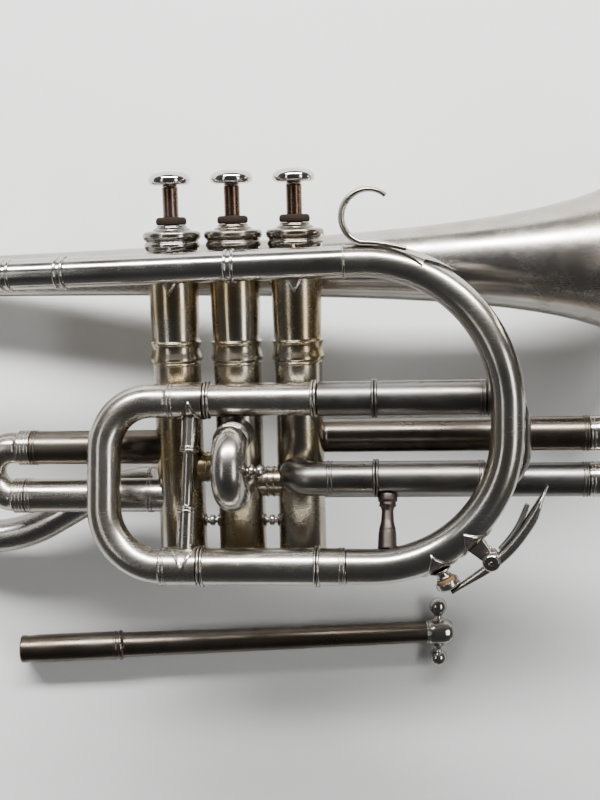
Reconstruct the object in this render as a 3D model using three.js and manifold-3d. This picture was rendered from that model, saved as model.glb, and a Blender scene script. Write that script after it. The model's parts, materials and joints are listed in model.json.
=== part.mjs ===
// A short cornet with three piston valves, lying on its left side, and a loose mouthpipe shank beside it.
// Millimetres. The instrument is built in its own frame: +X towards the bell mouth, +Z along the valve
// stems towards the buttons, +Y towards the player's left, with the middle valve on the Z axis.
// The exported group lays it down: +Z is then up, away from the table.
import * as THREE from "three";
import { mergeVertices } from "three/addons/utils/BufferGeometryUtils.js";
import Module from "manifold-3d";

const wasm = await Module();
wasm.setup();

// ---- Driving dimensions ----
const GAP = 0.3; // clearance between pieces that touch on the real instrument
const SIDES = 12; // sides of a round tube
const WALL = 0.6;
const TURN_PER_STATION = 0.5; // radians of bend between two rings of points on a bent tube

// Valves
const VALVE_PITCH = 25.4;
const VALVES = [-VALVE_PITCH, 0, VALVE_PITCH];
const CASING_R = 9.9;
const CASING_BORE = 8.9;
const CASING_BOTTOM = -3;
const CASING_TOP = 123.3;
const PISTON_R = 8.6;
const PISTON_BOTTOM = 4.5;
const PISTON_TOP = 64;
const PASSAGE_R = 4.9;
const PASSAGE_HEIGHTS = [18, 32, 48];
const BARREL_TOP = 116; // top of the spring barrel that stands on the piston
const BARREL_BORE = 7.4;
const STEM_R = 3.2;
const STEM_TOP = 149.2;
const GUIDE_Z = 70.3; // underside of the fixed guide that the spring stands on
const GUIDE_THICK = 2;
const STROKE = 12;
const PORT_R = 5.2;

// Tubes: radii
const LEADPIPE_R = 6;
const BOW_START_R = 6.1;
const BOW_END_R = 7.1;
const SLIDE_SLEEVE_R = 7.15;
const SLIDE_LEG_R = 6.2;
const SLIDE_SLEEVE_BORE = 6.5;
const SLIDE_BORE = 5.6;
const CROOK_R = 6.7;

// Leadpipe line, from the receiver end to the front bow
const LEAD_FROM = new THREE.Vector3(-93, -20, 116);
const LEAD_TO = new THREE.Vector3(45, -27, 118.6);
const RECEIVER_X = -150; // outer end of the receiver
const LEAD_JOINT_X = -64; // where the receiver meets the leadpipe

// Planes and heights of the tubes
const BOTTOM_Y = -32;
const BOTTOM_Z = -0.9;
const SLIDE_Y = -17.6;
const UPPER_Z = 64;
const LOWER_Z = 31.5;
const FRONT_BOW_RIGHT = 108.5;
const FRONT_BOW_TOP_R = 56;
const FRONT_BOW_LOW_R = 53;
const FRONT_BOW_START = 45.3;
const TUNING_LEFT = -52.4;
const TUNING_FERRULE_UPPER = [-26, -11.8];
const TUNING_FERRULE_LOWER = [-29, -14.2];
const TUNING_LEG_END = 30;
const FRONT_SLEEVE_END = 101.2;
const FRONT_LOWER_RING_X = 57.2;
const FRONT_CROOK_TIP = 112;
const FRONT_CROOK_CORNER = 10.6;
const THIRD_Y = 8;
const THIRD_Z = [44.5, 25];
const THIRD_SLEEVE_END = 144.5;
const THIRD_BOW_START = 157;
const FIRST_Z = [41.8, 21];
const FIRST_SLEEVE_END = [-89, -92.5];
const FIRST_BOW_START = -98;
const SECOND_Z = [48.7, 27.1];
const SECOND_SLEEVE_END = -24;
const TRANSFER_Z = [33, 26.6];
const TRANSFER_R = 6.2;

// Bell
const BELL_Y = 24;
const BELL_Z = [113.9, 115.9];
const BELL_TAIL = -118.5;
const BELL_MOUTH = 182;
const BELL_BOW_R = 58.6;
const BELL_BOW_X = -119;
const BELL_TAIL_R = 7.1;
const BELL_TAIL_Z = 23.6; // where the bell bow enters the first casing

// Water key, in polar terms about the lower arc of the front bow
const KEY_PIVOT_ANGLE = -0.82;
const KEY_PIVOT_R = 67.6;
const KEY_NIPPLE_ANGLE = -1.11;
const KEY_SEAT_R = 64; // end of the nipple, where the cork closes it
const KEY_CORK_THICK = 3.4;
const KEY_LEVER_HALF_WIDTH = 2.5;
const KEY_LEVER_THICK = 3;
const KEY_PIN_R = 1.1;
const KEY_EYE_R = 3.4; // the eyes of the saddle, and the head of the pin

// The instrument lies so far turned about its own Z axis that bell rim and bell bow both touch the table
const LYING_TURN = -9 * (Math.PI / 180);

// ---- Materials ----
const metal = (color, roughness) => new THREE.MeshStandardMaterial({ color, roughness, metalness: 1 });
const silver = metal(0x9a958c, 0.32);
const brassy = metal(0x9b8a68, 0.32);
const bright = metal(0xc9c8c6, 0.14);
const bronze = metal(0x6b4a3c, 0.4);
const dark = metal(0x4a3c34, 0.5);
const steel = metal(0x8c8c8c, 0.4);
const felt = new THREE.MeshStandardMaterial({ color: 0x2e221c, roughness: 0.95, metalness: 0 });
const cork = new THREE.MeshStandardMaterial({ color: 0x9a6a3c, roughness: 0.9, metalness: 0 });

// ---- Helpers ----
const at = (x, y, z) => new THREE.Vector3(x, y, z);

// A closed geometry as a solid that faces outwards.
function solid(geometry) {
  const flat = geometry.index ? geometry.toNonIndexed() : geometry;
  const bare = new THREE.BufferGeometry();
  bare.setAttribute("position", flat.getAttribute("position"));
  const merged = mergeVertices(bare, 1e-4);
  const corners = merged.index.array;
  const faces = [];
  for (let i = 0; i < corners.length; i += 3) {
    const [a, b, c] = corners.slice(i, i + 3);
    if (a !== b && b !== c && c !== a) faces.push(a, b, c);
  }
  const make = (list) =>
    new wasm.Manifold(
      new wasm.Mesh({
        numProp: 3,
        vertProperties: merged.attributes.position.array,
        triVerts: new Uint32Array(list),
      }),
    );
  const made = make(faces);
  return made.volume() > 0 ? made : make(faces.reverse());
}

function named(name, shape, material) {
  const made = shape instanceof THREE.BufferGeometry ? solid(shape) : shape;
  const { vertProperties, triVerts } = made.getMesh();
  const geometry = new THREE.BufferGeometry();
  geometry.setAttribute("position", new THREE.BufferAttribute(vertProperties, 3));
  geometry.setIndex(new THREE.BufferAttribute(triVerts, 1));
  geometry.computeVertexNormals();
  const mesh = new THREE.Mesh(geometry, material);
  mesh.name = name;
  return mesh;
}

const joined = (...geometries) => geometries.map(solid).reduce((all, next) => all.add(next));

// A turned shape about Z. The profile is [radius, height] pairs, and closes on itself off the axis.
function turned(profile, sides = SIDES) {
  const points = profile.map(([radius, height]) => new THREE.Vector2(radius, height));
  if (points[0].x > 0 || points.at(-1).x > 0) points.push(points[0].clone());
  return new THREE.LatheGeometry(points, sides).rotateX(Math.PI / 2);
}

const rod = (radius, from, to, sides = SIDES) =>
  laid(
    turned([[0, 0], [radius, 0], [radius, from.distanceTo(to)], [0, from.distanceTo(to)]], sides),
    from,
    to,
  );

const block = (x0, x1, y0, y1, z0, z1) =>
  new THREE.BoxGeometry(x1 - x0, y1 - y0, z1 - z0).translate((x0 + x1) / 2, (y0 + y1) / 2, (z0 + z1) / 2);

// Moves a shape that stands on Z so that it starts at one point and runs towards another.
function laid(geometry, from, to) {
  const turn = new THREE.Quaternion().setFromUnitVectors(at(0, 0, 1), to.clone().sub(from).normalize());
  return geometry.applyQuaternion(turn).translate(from.x, from.y, from.z);
}

// [distance, radius] pairs of a tube with raised rings on it.
function ringed(length, radius, rings = [], rise = 0.9) {
  const half = 1;
  const outline = [[0, radius]];
  for (const ring of rings)
    outline.push(
      [ring - half, radius],
      [ring, radius + rise],
      [ring + half, radius],
    );
  outline.push([length, radius]);
  return outline;
}

// A straight hollow tube between two points, with rings at the distances given from its start.
function tube(from, to, radius, bore, rings) {
  const length = from.distanceTo(to);
  const outer = ringed(length, radius, rings).map(([distance, r]) => [r, distance]);
  return laid(turned([...outer, [bore, length], [bore, 0]]), from, to);
}

// centre + cos(angle) * across + sin(angle) * along
class Arc extends THREE.Curve {
  constructor(centre, across, along, from, to) {
    super();
    Object.assign(this, { centre, across, along, from, to });
  }
  getPoint(t, target = new THREE.Vector3()) {
    const angle = this.from + (this.to - this.from) * t;
    return target
      .copy(this.centre)
      .addScaledVector(this.across, Math.cos(angle))
      .addScaledVector(this.along, Math.sin(angle));
  }
}

// Straight runs between points, with each inner corner rounded to its own radius.
function route(points, radii) {
  const path = new THREE.CurvePath();
  let start = points[0];
  radii.forEach((radius, i) => {
    const corner = points[i + 1];
    const into = corner.clone().sub(points[i]).normalize();
    const out = points[i + 2].clone().sub(corner).normalize();
    const turn = into.angleTo(out);
    const reach = radius * Math.tan(turn / 2);
    const begin = corner.clone().addScaledVector(into, -reach);
    const inside = out.clone().addScaledVector(into, -into.dot(out)).normalize();
    if (start.distanceTo(begin) > 0.01) path.add(new THREE.LineCurve3(start, begin));
    const centre = begin.clone().addScaledVector(inside, radius);
    const across = inside.clone().multiplyScalar(-radius);
    path.add(new Arc(centre, across, into.clone().multiplyScalar(radius), 0, turn));
    start = corner.clone().addScaledVector(out, reach);
  });
  if (start.distanceTo(points.at(-1)) > 0.01) path.add(new THREE.LineCurve3(start, points.at(-1)));
  return path;
}

// A curve whose Y follows from the rest of each point.
class Leaning extends THREE.Curve {
  constructor(base, depth) {
    super();
    Object.assign(this, { base, depth });
  }
  getPoint(t, target = new THREE.Vector3()) {
    target.copy(this.base.getPoint(t));
    return target.setY(this.depth(target));
  }
}

// Distances along a curve, close together where it bends.
function stations(curve, length, from, to) {
  if (to - from < 0.01) return [to];
  const middle = (from + to) / 2;
  const [a, b, c] = [from, middle, to].map((distance) => curve.getTangentAt(distance / length));
  if (a.angleTo(b) + b.angleTo(c) < TURN_PER_STATION) return [to];
  return [...stations(curve, length, from, middle), ...stations(curve, length, middle, to)];
}

// A hollow tube along a curve. The outline is [distance, radius] pairs. normal never lies along the curve.
function bentTube(curve, outline, bore, normal = at(0, 1, 0)) {
  const length = curve.getLength();
  const outer = [[outline[0][1], outline[0][0]]];
  for (let i = 1; i < outline.length; i++) {
    const [from, fromR] = outline[i - 1];
    const [to, toR] = outline[i];
    for (const distance of stations(curve, length, from, to)) {
      const share = to > from ? (distance - from) / (to - from) : 1;
      outer.push([fromR + (toR - fromR) * share, distance]);
    }
  }
  const inner = [];
  for (const [, distance] of [...outer].reverse())
    if (!inner.length || inner.at(-1)[1] - distance > 0.01) inner.push([bore, distance]);
  const geometry = turned([...outer, ...inner]);
  const position = geometry.getAttribute("position");
  for (let i = 0; i < position.count; i++) {
    const share = THREE.MathUtils.clamp(position.getZ(i) / length, 0, 1);
    const forward = curve.getTangentAt(share);
    const side = normal.clone().addScaledVector(forward, -forward.dot(normal)).normalize();
    const point = curve
      .getPointAt(share)
      .addScaledVector(side, position.getX(i))
      .addScaledVector(forward.clone().cross(side), position.getY(i));
    position.setXYZ(i, point.x, point.y, point.z);
  }
  return geometry;
}

// A flat outline in the XZ plane, given thickness along Y.
function plate(points, y0, y1) {
  const shape = new THREE.Shape(points.map(([x, z]) => new THREE.Vector2(x, z)));
  const extrude = { depth: y1 - y0, bevelEnabled: false };
  return new THREE.ExtrudeGeometry(shape, extrude).rotateX(Math.PI / 2).translate(0, y1, 0);
}

// What a valve casing takes away from a tube that is soldered to it.
const casingCut = (valve) =>
  solid(
    rod(
      CASING_R + GAP,
      at(VALVES[valve], 0, CASING_BOTTOM - 5),
      at(VALVES[valve], 0, CASING_TOP),
      2 * SIDES,
    ),
  );

const cornet = new THREE.Group();
cornet.rotation.set(-Math.PI / 2, 0, LYING_TURN);

// ---- Valves ----
// Where tubes enter each casing: direction in the XY plane (radians) and height.
const PORTS = [
  [[Math.PI, FIRST_Z[0]], [Math.PI, FIRST_Z[1]], [0, TRANSFER_Z[0]], [Math.PI / 2, BELL_TAIL_Z]],
  [[Math.PI, TRANSFER_Z[0]], [0, TRANSFER_Z[1]], [-Math.PI / 2, SECOND_Z[0]], [-Math.PI / 2, SECOND_Z[1]]],
  [[Math.PI, TRANSFER_Z[1]], [Math.PI / 4, THIRD_Z[0]], [Math.PI / 4, THIRD_Z[1]], [-1.67, LOWER_Z]],
];

function casing(valve) {
  const wall = turned(
    [
      [CASING_R, CASING_BOTTOM],
      [CASING_R, 77.8],
      [10.8, 78.8],
      [10.1, 80.5],
      [10.1, 84],
      [10.9, 86],
      [10.2, 97],
      [10.2, CASING_TOP],
      [CASING_BORE, CASING_TOP],
      [CASING_BORE, CASING_BOTTOM],
    ],
    16,
  );
  const guide = turned([
    [STEM_R + 1, GUIDE_Z],
    [BARREL_BORE - 0.4, GUIDE_Z],
    [BARREL_BORE - 0.4, GUIDE_Z + GUIDE_THICK],
    [STEM_R + 1, GUIDE_Z + GUIDE_THICK],
  ]);
  const arm = (side) => {
    const [inner, outer] = [BARREL_BORE - 1.4, CASING_BORE + 0.4].map((r) => side * r);
    return block(
      -1.3,
      1.3,
      Math.min(inner, outer),
      Math.max(inner, outer),
      GUIDE_Z,
      GUIDE_Z + GUIDE_THICK,
    );
  };
  let made = joined(wall, guide, arm(1), arm(-1));
  for (const [angle, height] of PORTS[valve]) {
    const [x, y] = [Math.cos(angle), Math.sin(angle)];
    made = made.subtract(solid(rod(PORT_R, at(5 * x, 5 * y, height), at(14 * x, 14 * y, height), 8)));
  }
  return made;
}

// A hollow piston, open below, with three tubes through it.
function piston(valve) {
  const shell = turned(
    [
      [PISTON_R, PISTON_BOTTOM],
      [PISTON_R, PISTON_TOP],
      [0, PISTON_TOP],
      [0, PISTON_TOP - 1.5],
      [PISTON_R - 1, PISTON_TOP - 1.5],
      [PISTON_R - 1, PISTON_BOTTOM],
    ],
  );
  let made = solid(shell);
  const passages = PASSAGE_HEIGHTS.map((height, i) => {
    const angle = valve * 0.5 + (i * Math.PI) / 3;
    return [at(Math.cos(angle), Math.sin(angle), 0), height];
  });
  const room = solid(rod(PISTON_R - 0.2, at(0, 0, PISTON_BOTTOM), at(0, 0, PISTON_TOP - 0.5)));
  for (const [along, height] of passages) {
    const end = along.clone().multiplyScalar(PISTON_R).setZ(height);
    const start = along.clone().multiplyScalar(-PISTON_R).setZ(height);
    made = made.add(solid(rod(PASSAGE_R + WALL, start, end, 8)).intersect(room));
  }
  for (const [along, height] of passages) {
    const end = along.clone().multiplyScalar(PISTON_R + 2).setZ(height);
    const start = along.clone().multiplyScalar(-PISTON_R - 2).setZ(height);
    made = made.subtract(solid(rod(PASSAGE_R, start, end, 8)));
  }
  return made;
}

// The stem and, below it, the slotted barrel that holds the spring.
function stem() {
  const body = turned(
    [
      [0, STEM_TOP],
      [STEM_R, STEM_TOP],
      [STEM_R, BARREL_TOP],
      [PISTON_R - 0.1, BARREL_TOP],
      [PISTON_R - 0.1, PISTON_TOP + GAP],
      [BARREL_BORE, PISTON_TOP + GAP],
      [BARREL_BORE, BARREL_TOP - 2.5],
      [0, BARREL_TOP - 2.5],
    ],
    SIDES,
  );
  const slot = block(-1.7, 1.7, -12, 12, GUIDE_Z - 0.6, GUIDE_Z + GUIDE_THICK + STROKE + 0.8);
  return solid(body).subtract(solid(slot));
}

class Helix extends THREE.Curve {
  constructor(radius, from, to, turns) {
    super();
    Object.assign(this, { radius, from, to, turns });
  }
  getPoint(t, target = new THREE.Vector3()) {
    const angle = 2 * Math.PI * this.turns * t;
    return target.set(
      this.radius * Math.cos(angle),
      this.radius * Math.sin(angle),
      this.from + (this.to - this.from) * t,
    );
  }
}

function valveSpring() {
  const [wire, turns] = [0.45, 6];
  const coil = new Helix(5.6, GUIDE_Z + GUIDE_THICK + GAP + wire, BARREL_TOP - 2.5 - GAP - wire, turns);
  const section = new THREE.Shape().absarc(0, 0, wire, 0, 2 * Math.PI);
  const extrude = { steps: turns * 7, extrudePath: coil, curveSegments: 2, bevelEnabled: false };
  return new THREE.ExtrudeGeometry(section, extrude);
}

const topCap = () =>
  turned(
    [
      [STEM_R + 0.6, 134],
      [6.1, 134],
      [7, 132.6],
      [11.3, 131.5],
      [11.8, 128.6],
      [10.4, 126.8],
      [10.7, CASING_TOP + GAP],
      [8.6, CASING_TOP + GAP],
      [8.6, 128],
      [STEM_R + 0.6, 131.5],
    ],
    16,
  );

const bottomCap = () =>
  turned(
    [
      [11, CASING_BOTTOM - GAP],
      [11, -9.5],
      [6, -12.6],
      [1.5, -13.2],
      [1.5, -11.8],
      [8.2, -10],
      [8.9, -9],
      [8.9, CASING_BOTTOM - GAP],
    ],
    14,
  );

const capFelt = () =>
  turned([[STEM_R + 0.6, 134.3], [6.2, 134.3], [6.2, 137], [STEM_R + 0.6, 137]], SIDES);

const button = () =>
  turned(
    [[0, 149.5], [3.4, 149.5], [7, 150.1], [8.6, 151.3], [8.6, 153.2], [7.5, 154.6], [4.4, 155.5], [0, 155.8]],
    14,
  );

VALVES.forEach((x, valve) => {
  const number = valve + 1;
  const group = new THREE.Group();
  group.position.x = x;
  group.add(
    named(`casing_${number}`, casing(valve), brassy),
    named(`piston_${number}`, piston(valve), steel),
    named(`stem_${number}`, stem(), bronze),
    named(`valve_spring_${number}`, valveSpring(), steel),
    named(`top_cap_${number}`, topCap(), silver),
    named(`bottom_cap_${number}`, bottomCap(), silver),
    named(`cap_felt_${number}`, capFelt(), felt),
    named(`button_${number}`, button(), bright),
  );
  cornet.add(group);
});

// Short tubes and ball-ended braces between neighbouring casings.
[[0, 1], [1, 2]].forEach(([left, right]) => {
  const names = `${left + 1}${right + 1}`;
  const middle = (VALVES[left] + VALVES[right]) / 2;
  const height = TRANSFER_Z[left];
  const transfer = solid(tube(at(middle - 10, 0, height), at(middle + 10, 0, height), TRANSFER_R, PORT_R))
    .subtract(casingCut(left))
    .subtract(casingCut(right));
  cornet.add(named(`transfer_tube_${names}`, transfer, brassy));
  const half = VALVE_PITCH / 2 - CASING_R - GAP;
  const brace = turned(
    [
      [0, -half],
      [2.6, -half],
      [1.3, 0.7 - half],
      [2.3, -0.8],
      [2.3, 0.8],
      [1.3, half - 0.7],
      [2.6, half],
      [0, half],
    ],
    10,
  ).rotateY(Math.PI / 2);
  cornet.add(named(`ball_brace_${names}`, brace.translate(middle, 0, 10), silver));
});

// ---- Bell ----
const bellRadius = (x) => 300 / (196 - x) ** 0.615;

function bell() {
  const length = BELL_MOUTH - BELL_TAIL;
  const steps = 11;
  const outer = [];
  const inner = [];
  for (let i = 0; i <= steps; i++) {
    const x = BELL_TAIL + (length - 1) * (1 - (1 - i / steps) ** 1.9);
    const slope = (bellRadius(x + 0.1) - bellRadius(x - 0.1)) / 0.2;
    const tilt = Math.hypot(1, slope);
    outer.push([bellRadius(x), x - BELL_TAIL]);
    inner.push([bellRadius(x) - WALL / tilt, x - BELL_TAIL + (WALL * slope) / tilt]);
  }
  const rim = [
    [59.4, length - 2],
    [60.4, length - 1.1],
    [59.8, length],
    [58.2, length],
  ];
  const profile = [...outer, ...rim, ...inner.reverse()];
  return laid(turned(profile, 22), at(BELL_TAIL, BELL_Y, BELL_Z[0]), at(BELL_MOUTH, BELL_Y, BELL_Z[1]));
}
cornet.add(named("bell", bell(), silver));

// The bow behind the bell: round to the left and down, then up into the back of the first casing.
function bellBow() {
  const centre = at(BELL_BOW_X, BELL_Y, BELL_Z[0] - BELL_BOW_R);
  const leave = 0.55; // radians past the lowest point where the tail straightens
  const arc = new Arc(centre, at(0, 0, BELL_BOW_R), at(-BELL_BOW_R, 0, 0), 0, Math.PI + leave);
  const end = arc.getPoint(1);
  const tail = new THREE.CatmullRomCurve3([
    end,
    at(-66, 23, 17.4),
    at(-50, 21.5, 22.2),
    at(-37, 17.5, BELL_TAIL_Z),
    at(-28.5, 9, BELL_TAIL_Z),
  ]);
  const path = new THREE.CurvePath();
  path.add(arc);
  path.add(tail);
  const length = path.getLength();
  const outline = [
    [0, bellRadius(BELL_TAIL)],
    [length - 60, BELL_TAIL_R],
    [length, BELL_TAIL_R],
  ];
  const slideZ = FIRST_Z[1];
  const pastSlide = rod(SLIDE_SLEEVE_R + GAP, at(-50, 0, slideZ), at(VALVES[0], 0, slideZ), 2 * SIDES);
  return solid(bentTube(path, outline, SLIDE_BORE)).subtract(casingCut(0)).subtract(solid(pastSlide));
}
cornet.add(named("bell_bow", bellBow(), silver));

// ---- Mouthpipe and front bow ----
const leadAt = (x) => LEAD_FROM.clone().lerp(LEAD_TO, (x - LEAD_FROM.x) / (LEAD_TO.x - LEAD_FROM.x));

const leadpipe = tube(leadAt(LEAD_JOINT_X), LEAD_TO, LEADPIPE_R, LEADPIPE_R - WALL, [64.9, 67.4]);
cornet.add(named("leadpipe", leadpipe, silver));

// The receiver's mouth is a tapered socket for the mouthpiece shank.
function receiver() {
  const [from, to] = [leadAt(RECEIVER_X), leadAt(LEAD_JOINT_X - GAP)];
  const length = from.distanceTo(to);
  const [mouth, throat, depth] = [5.2, 4.6, 35]; // radii of the taper and how deep it goes
  const outer = ringed(length, 6.5, [1.2, length - 25.3, length - 23.3, length - 1.2], 0.7);
  const profile = outer.map(([distance, r]) => [r, distance]);
  profile.push([mouth, length], [throat, depth], [mouth, 0]);
  return laid(turned(profile), from, to);
}
cornet.add(named("mouthpipe_receiver", receiver(), silver));

const FRONT_LOW_CENTRE = at(FRONT_BOW_RIGHT - FRONT_BOW_LOW_R, BOTTOM_Y, BOTTOM_Z + FRONT_BOW_LOW_R);

function frontBow() {
  const top = LEAD_TO.z;
  const flat = route(
    [
      at(FRONT_BOW_START, 0, top),
      at(FRONT_BOW_RIGHT, 0, top),
      at(FRONT_BOW_RIGHT, 0, BOTTOM_Z),
      at(FRONT_BOW_START + GAP, 0, BOTTOM_Z),
    ],
    [FRONT_BOW_TOP_R, FRONT_BOW_LOW_R],
  );
  const settle = (point) => THREE.MathUtils.smoothstep(top - point.z, 0, 42);
  const path = new Leaning(flat, (point) => LEAD_TO.y + (BOTTOM_Y - LEAD_TO.y) * settle(point));
  const outline = [[0, BOW_START_R], [path.getLength(), BOW_END_R]];
  const bow = solid(bentTube(path, outline, 5.5));
  const nipple = keyPlace(KEY_NIPPLE_ANGLE, rod(2.6, at(57, 0, 0), at(KEY_SEAT_R, 0, 0), 10));
  const hole = keyPlace(KEY_NIPPLE_ANGLE, rod(1.3, at(56, 0, 0), at(KEY_SEAT_R + 2, 0, 0), 8));
  return bow.add(solid(nipple)).subtract(solid(hole));
}

// Puts a shape built with +X outwards from the centre of the front bow's lower arc at an angle round it.
function keyPlace(angle, geometry) {
  return geometry.rotateY(-angle).translate(FRONT_LOW_CENTRE.x, FRONT_LOW_CENTRE.y, FRONT_LOW_CENTRE.z);
}
cornet.add(named("front_bow", frontBow(), silver));

// ---- Main tuning slide ----
const upperSleeve = tube(
  at(TUNING_FERRULE_UPPER[1] + GAP, SLIDE_Y, UPPER_Z),
  at(34.3, SLIDE_Y, UPPER_Z),
  6.75,
  6.2,
  [1.2, 44.5],
);
cornet.add(named("tuning_upper_sleeve", upperSleeve, silver));

const lowerSleeve = tube(
  at(TUNING_FERRULE_LOWER[1] + GAP, BOTTOM_Y, BOTTOM_Z),
  at(FRONT_BOW_START, BOTTOM_Y, BOTTOM_Z),
  7.35,
  6.8,
  [1.2, 47.8, 57.8],
);
cornet.add(named("tuning_lower_sleeve", lowerSleeve, silver));

function tuningCrook() {
  const flat = route(
    [
      at(TUNING_LEG_END, 0, UPPER_Z),
      at(TUNING_LEFT, 0, UPPER_Z),
      at(TUNING_LEFT, 0, BOTTOM_Z),
      at(TUNING_LEG_END, 0, BOTTOM_Z),
    ],
    [19, 24],
  );
  const fall = (point) => (UPPER_Z - point.z) / (UPPER_Z - BOTTOM_Z);
  const path = new Leaning(flat, (point) => SLIDE_Y + (BOTTOM_Y - SLIDE_Y) * fall(point));
  const length = path.getLength();
  const [upperLeft, upperRight] = TUNING_FERRULE_UPPER.map((x) => TUNING_LEG_END - x);
  const [lowerLeft, lowerRight] = TUNING_FERRULE_LOWER.map((x) => length - (TUNING_LEG_END - x));
  const outline = [
    [0, 5.9],
    [upperRight, 5.9],
    [upperRight, 7.2],
    [upperLeft, 7.2],
    [upperLeft, 6.9],
    [lowerLeft, 6.9],
    [lowerLeft, 7.4],
    [lowerRight, 7.4],
    [lowerRight, 6.5],
    [length, 6.5],
  ];
  return bentTube(path, outline, 5.3);
}
cornet.add(named("tuning_crook", tuningCrook(), silver));

function tuningBrace() {
  const top = at(-16.8, SLIDE_Y, UPPER_Z);
  const low = at(-19.4, BOTTOM_Y, BOTTOM_Z);
  const [start, end] = [7.6, top.distanceTo(low) - 7.8]; // just clear of the two legs
  const [socketR, bandR, barR] = [3.4, 3.9, 2.4];
  const profile = [
    [0, start],
    [socketR, start],
    [socketR, start + 11.4],
    [bandR, start + 11.9],
    [bandR, start + 12.9],
    [barR, start + 13.6],
    [barR, end - 16.2],
    [bandR, end - 15.6],
    [bandR, end - 14.6],
    [socketR, end - 14.1],
    [socketR, end],
    [0, end],
  ];
  return laid(turned(profile), top, low);
}
cornet.add(named("tuning_brace", tuningBrace(), silver));

// ---- Front slide, between the tuning slide and the third casing ----
const frontUpper = tube(
  at(34.6, SLIDE_Y, UPPER_Z),
  at(FRONT_SLEEVE_END, SLIDE_Y, UPPER_Z),
  6.9,
  SLIDE_SLEEVE_BORE,
  [22.5, 65.4],
);
cornet.add(named("front_slide_upper_sleeve", frontUpper, silver));

function frontLower() {
  const end = FRONT_SLEEVE_END - 0.7;
  const path = route([at(24.2, -3, LOWER_Z), at(24.2, SLIDE_Y, LOWER_Z), at(end, SLIDE_Y, LOWER_Z)], [9]);
  const length = path.getLength();
  const outline = ringed(length, 6.9, [length - (end - FRONT_LOWER_RING_X), length - 1.2]);
  return solid(bentTube(path, outline, SLIDE_SLEEVE_BORE - 0.2, at(0, 0, 1))).subtract(casingCut(2));
}
cornet.add(named("front_slide_lower_sleeve", frontLower(), silver));

// A U-shaped inner slide: legs, ferrules and bow. along is the pull direction's sign on X.
function crook(along, y, heights, legEnd, ferrules, bowStart, corner) {
  const [upper, lower] = heights;
  const tip = bowStart + along * corner;
  const path = route(
    [at(legEnd, y, upper), at(tip, y, upper), at(tip, y, lower), at(legEnd, y, lower)],
    [corner, corner],
  );
  const length = path.getLength();
  const reach = ([from, to]) => [Math.abs(from - legEnd), Math.abs(to - legEnd)];
  const [a, b] = reach(ferrules[0]);
  const [c, d] = reach(ferrules[1]).map((distance) => length - distance);
  const outline = [
    [0, SLIDE_LEG_R],
    [a, SLIDE_LEG_R],
    [a, SLIDE_SLEEVE_R],
    [b, b > a ? SLIDE_SLEEVE_R : CROOK_R],
    [b, CROOK_R],
    [d, CROOK_R],
    [d, c > d ? SLIDE_SLEEVE_R : CROOK_R],
    [c, c > d ? SLIDE_SLEEVE_R : CROOK_R],
    [c, SLIDE_LEG_R],
    [length, SLIDE_LEG_R],
  ].filter(([distance, r], i, all) => !i || distance !== all[i - 1][0] || r !== all[i - 1][1]);
  return bentTube(path, outline, SLIDE_BORE - 0.1);
}

const frontStart = FRONT_SLEEVE_END + GAP;
const frontCrook = crook(
  1,
  SLIDE_Y,
  [UPPER_Z, LOWER_Z],
  62,
  [[frontStart, frontStart], [frontStart, frontStart]],
  FRONT_CROOK_TIP - FRONT_CROOK_CORNER,
  FRONT_CROOK_CORNER,
);
cornet.add(named("front_crook", frontCrook, silver));

// A turned brace between the lower front sleeve and the front bow.
function lowerBrace() {
  const top = at(62, SLIDE_Y, LOWER_Z);
  const low = at(61.5, BOTTOM_Y, BOTTOM_Z);
  const [start, end] = [7.3, top.distanceTo(low) - 8.4]; // just clear of the two tubes
  const profile = [
    [0, start],
    [3.4, start],
    [3.4, start + 3.7],
    [2.6, start + 5.7],
    [2.6, start + 10.2],
    [3.5, start + 12.7],
    [3.5, end - 1],
    [2.8, end],
    [0, end],
  ];
  return laid(turned(profile), top, low);
}
cornet.add(named("lower_brace", lowerBrace(), dark));

// ---- Third slide ----
THIRD_Z.forEach((height, i) => {
  const path = route(
    [at(27, 1.6, height), at(33.4, THIRD_Y, height), at(THIRD_SLEEVE_END, THIRD_Y, height)],
    [9],
  );
  const length = path.getLength();
  const outline = ringed(length, SLIDE_SLEEVE_R, [length - 1.2]);
  const sleeve = bentTube(path, outline, SLIDE_SLEEVE_BORE, at(0, 0, 1));
  const name = ["third_slide_upper_sleeve", "third_slide_lower_sleeve"][i];
  cornet.add(named(name, solid(sleeve).subtract(casingCut(2)), silver));
});
const thirdFerrule = [THIRD_SLEEVE_END + GAP, THIRD_BOW_START - 1];
const thirdCrook = crook(
  1,
  THIRD_Y,
  THIRD_Z,
  70,
  [thirdFerrule, thirdFerrule],
  THIRD_BOW_START,
  (THIRD_Z[0] - THIRD_Z[1]) / 2,
);
cornet.add(named("third_crook", thirdCrook, bright));

// ---- First slide ----
FIRST_Z.forEach((height, i) => {
  const sleeve = tube(
    at(VALVES[0], 0, height),
    at(FIRST_SLEEVE_END[i], 0, height),
    SLIDE_SLEEVE_R,
    SLIDE_SLEEVE_BORE,
    i ? [14, VALVES[0] - FIRST_SLEEVE_END[i] - 1.2] : [VALVES[0] - FIRST_SLEEVE_END[i] - 1.2],
  );
  const name = ["first_slide_upper_sleeve", "first_slide_lower_sleeve"][i];
  cornet.add(named(name, solid(sleeve).subtract(casingCut(0)), silver));
});
const firstCrook = crook(
  -1,
  0,
  FIRST_Z,
  -48,
  FIRST_SLEEVE_END.map((x) => [x - GAP, x - 5.5]),
  FIRST_BOW_START,
  (FIRST_Z[0] - FIRST_Z[1]) / 2,
);
cornet.add(named("first_crook", firstCrook, silver));

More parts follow.
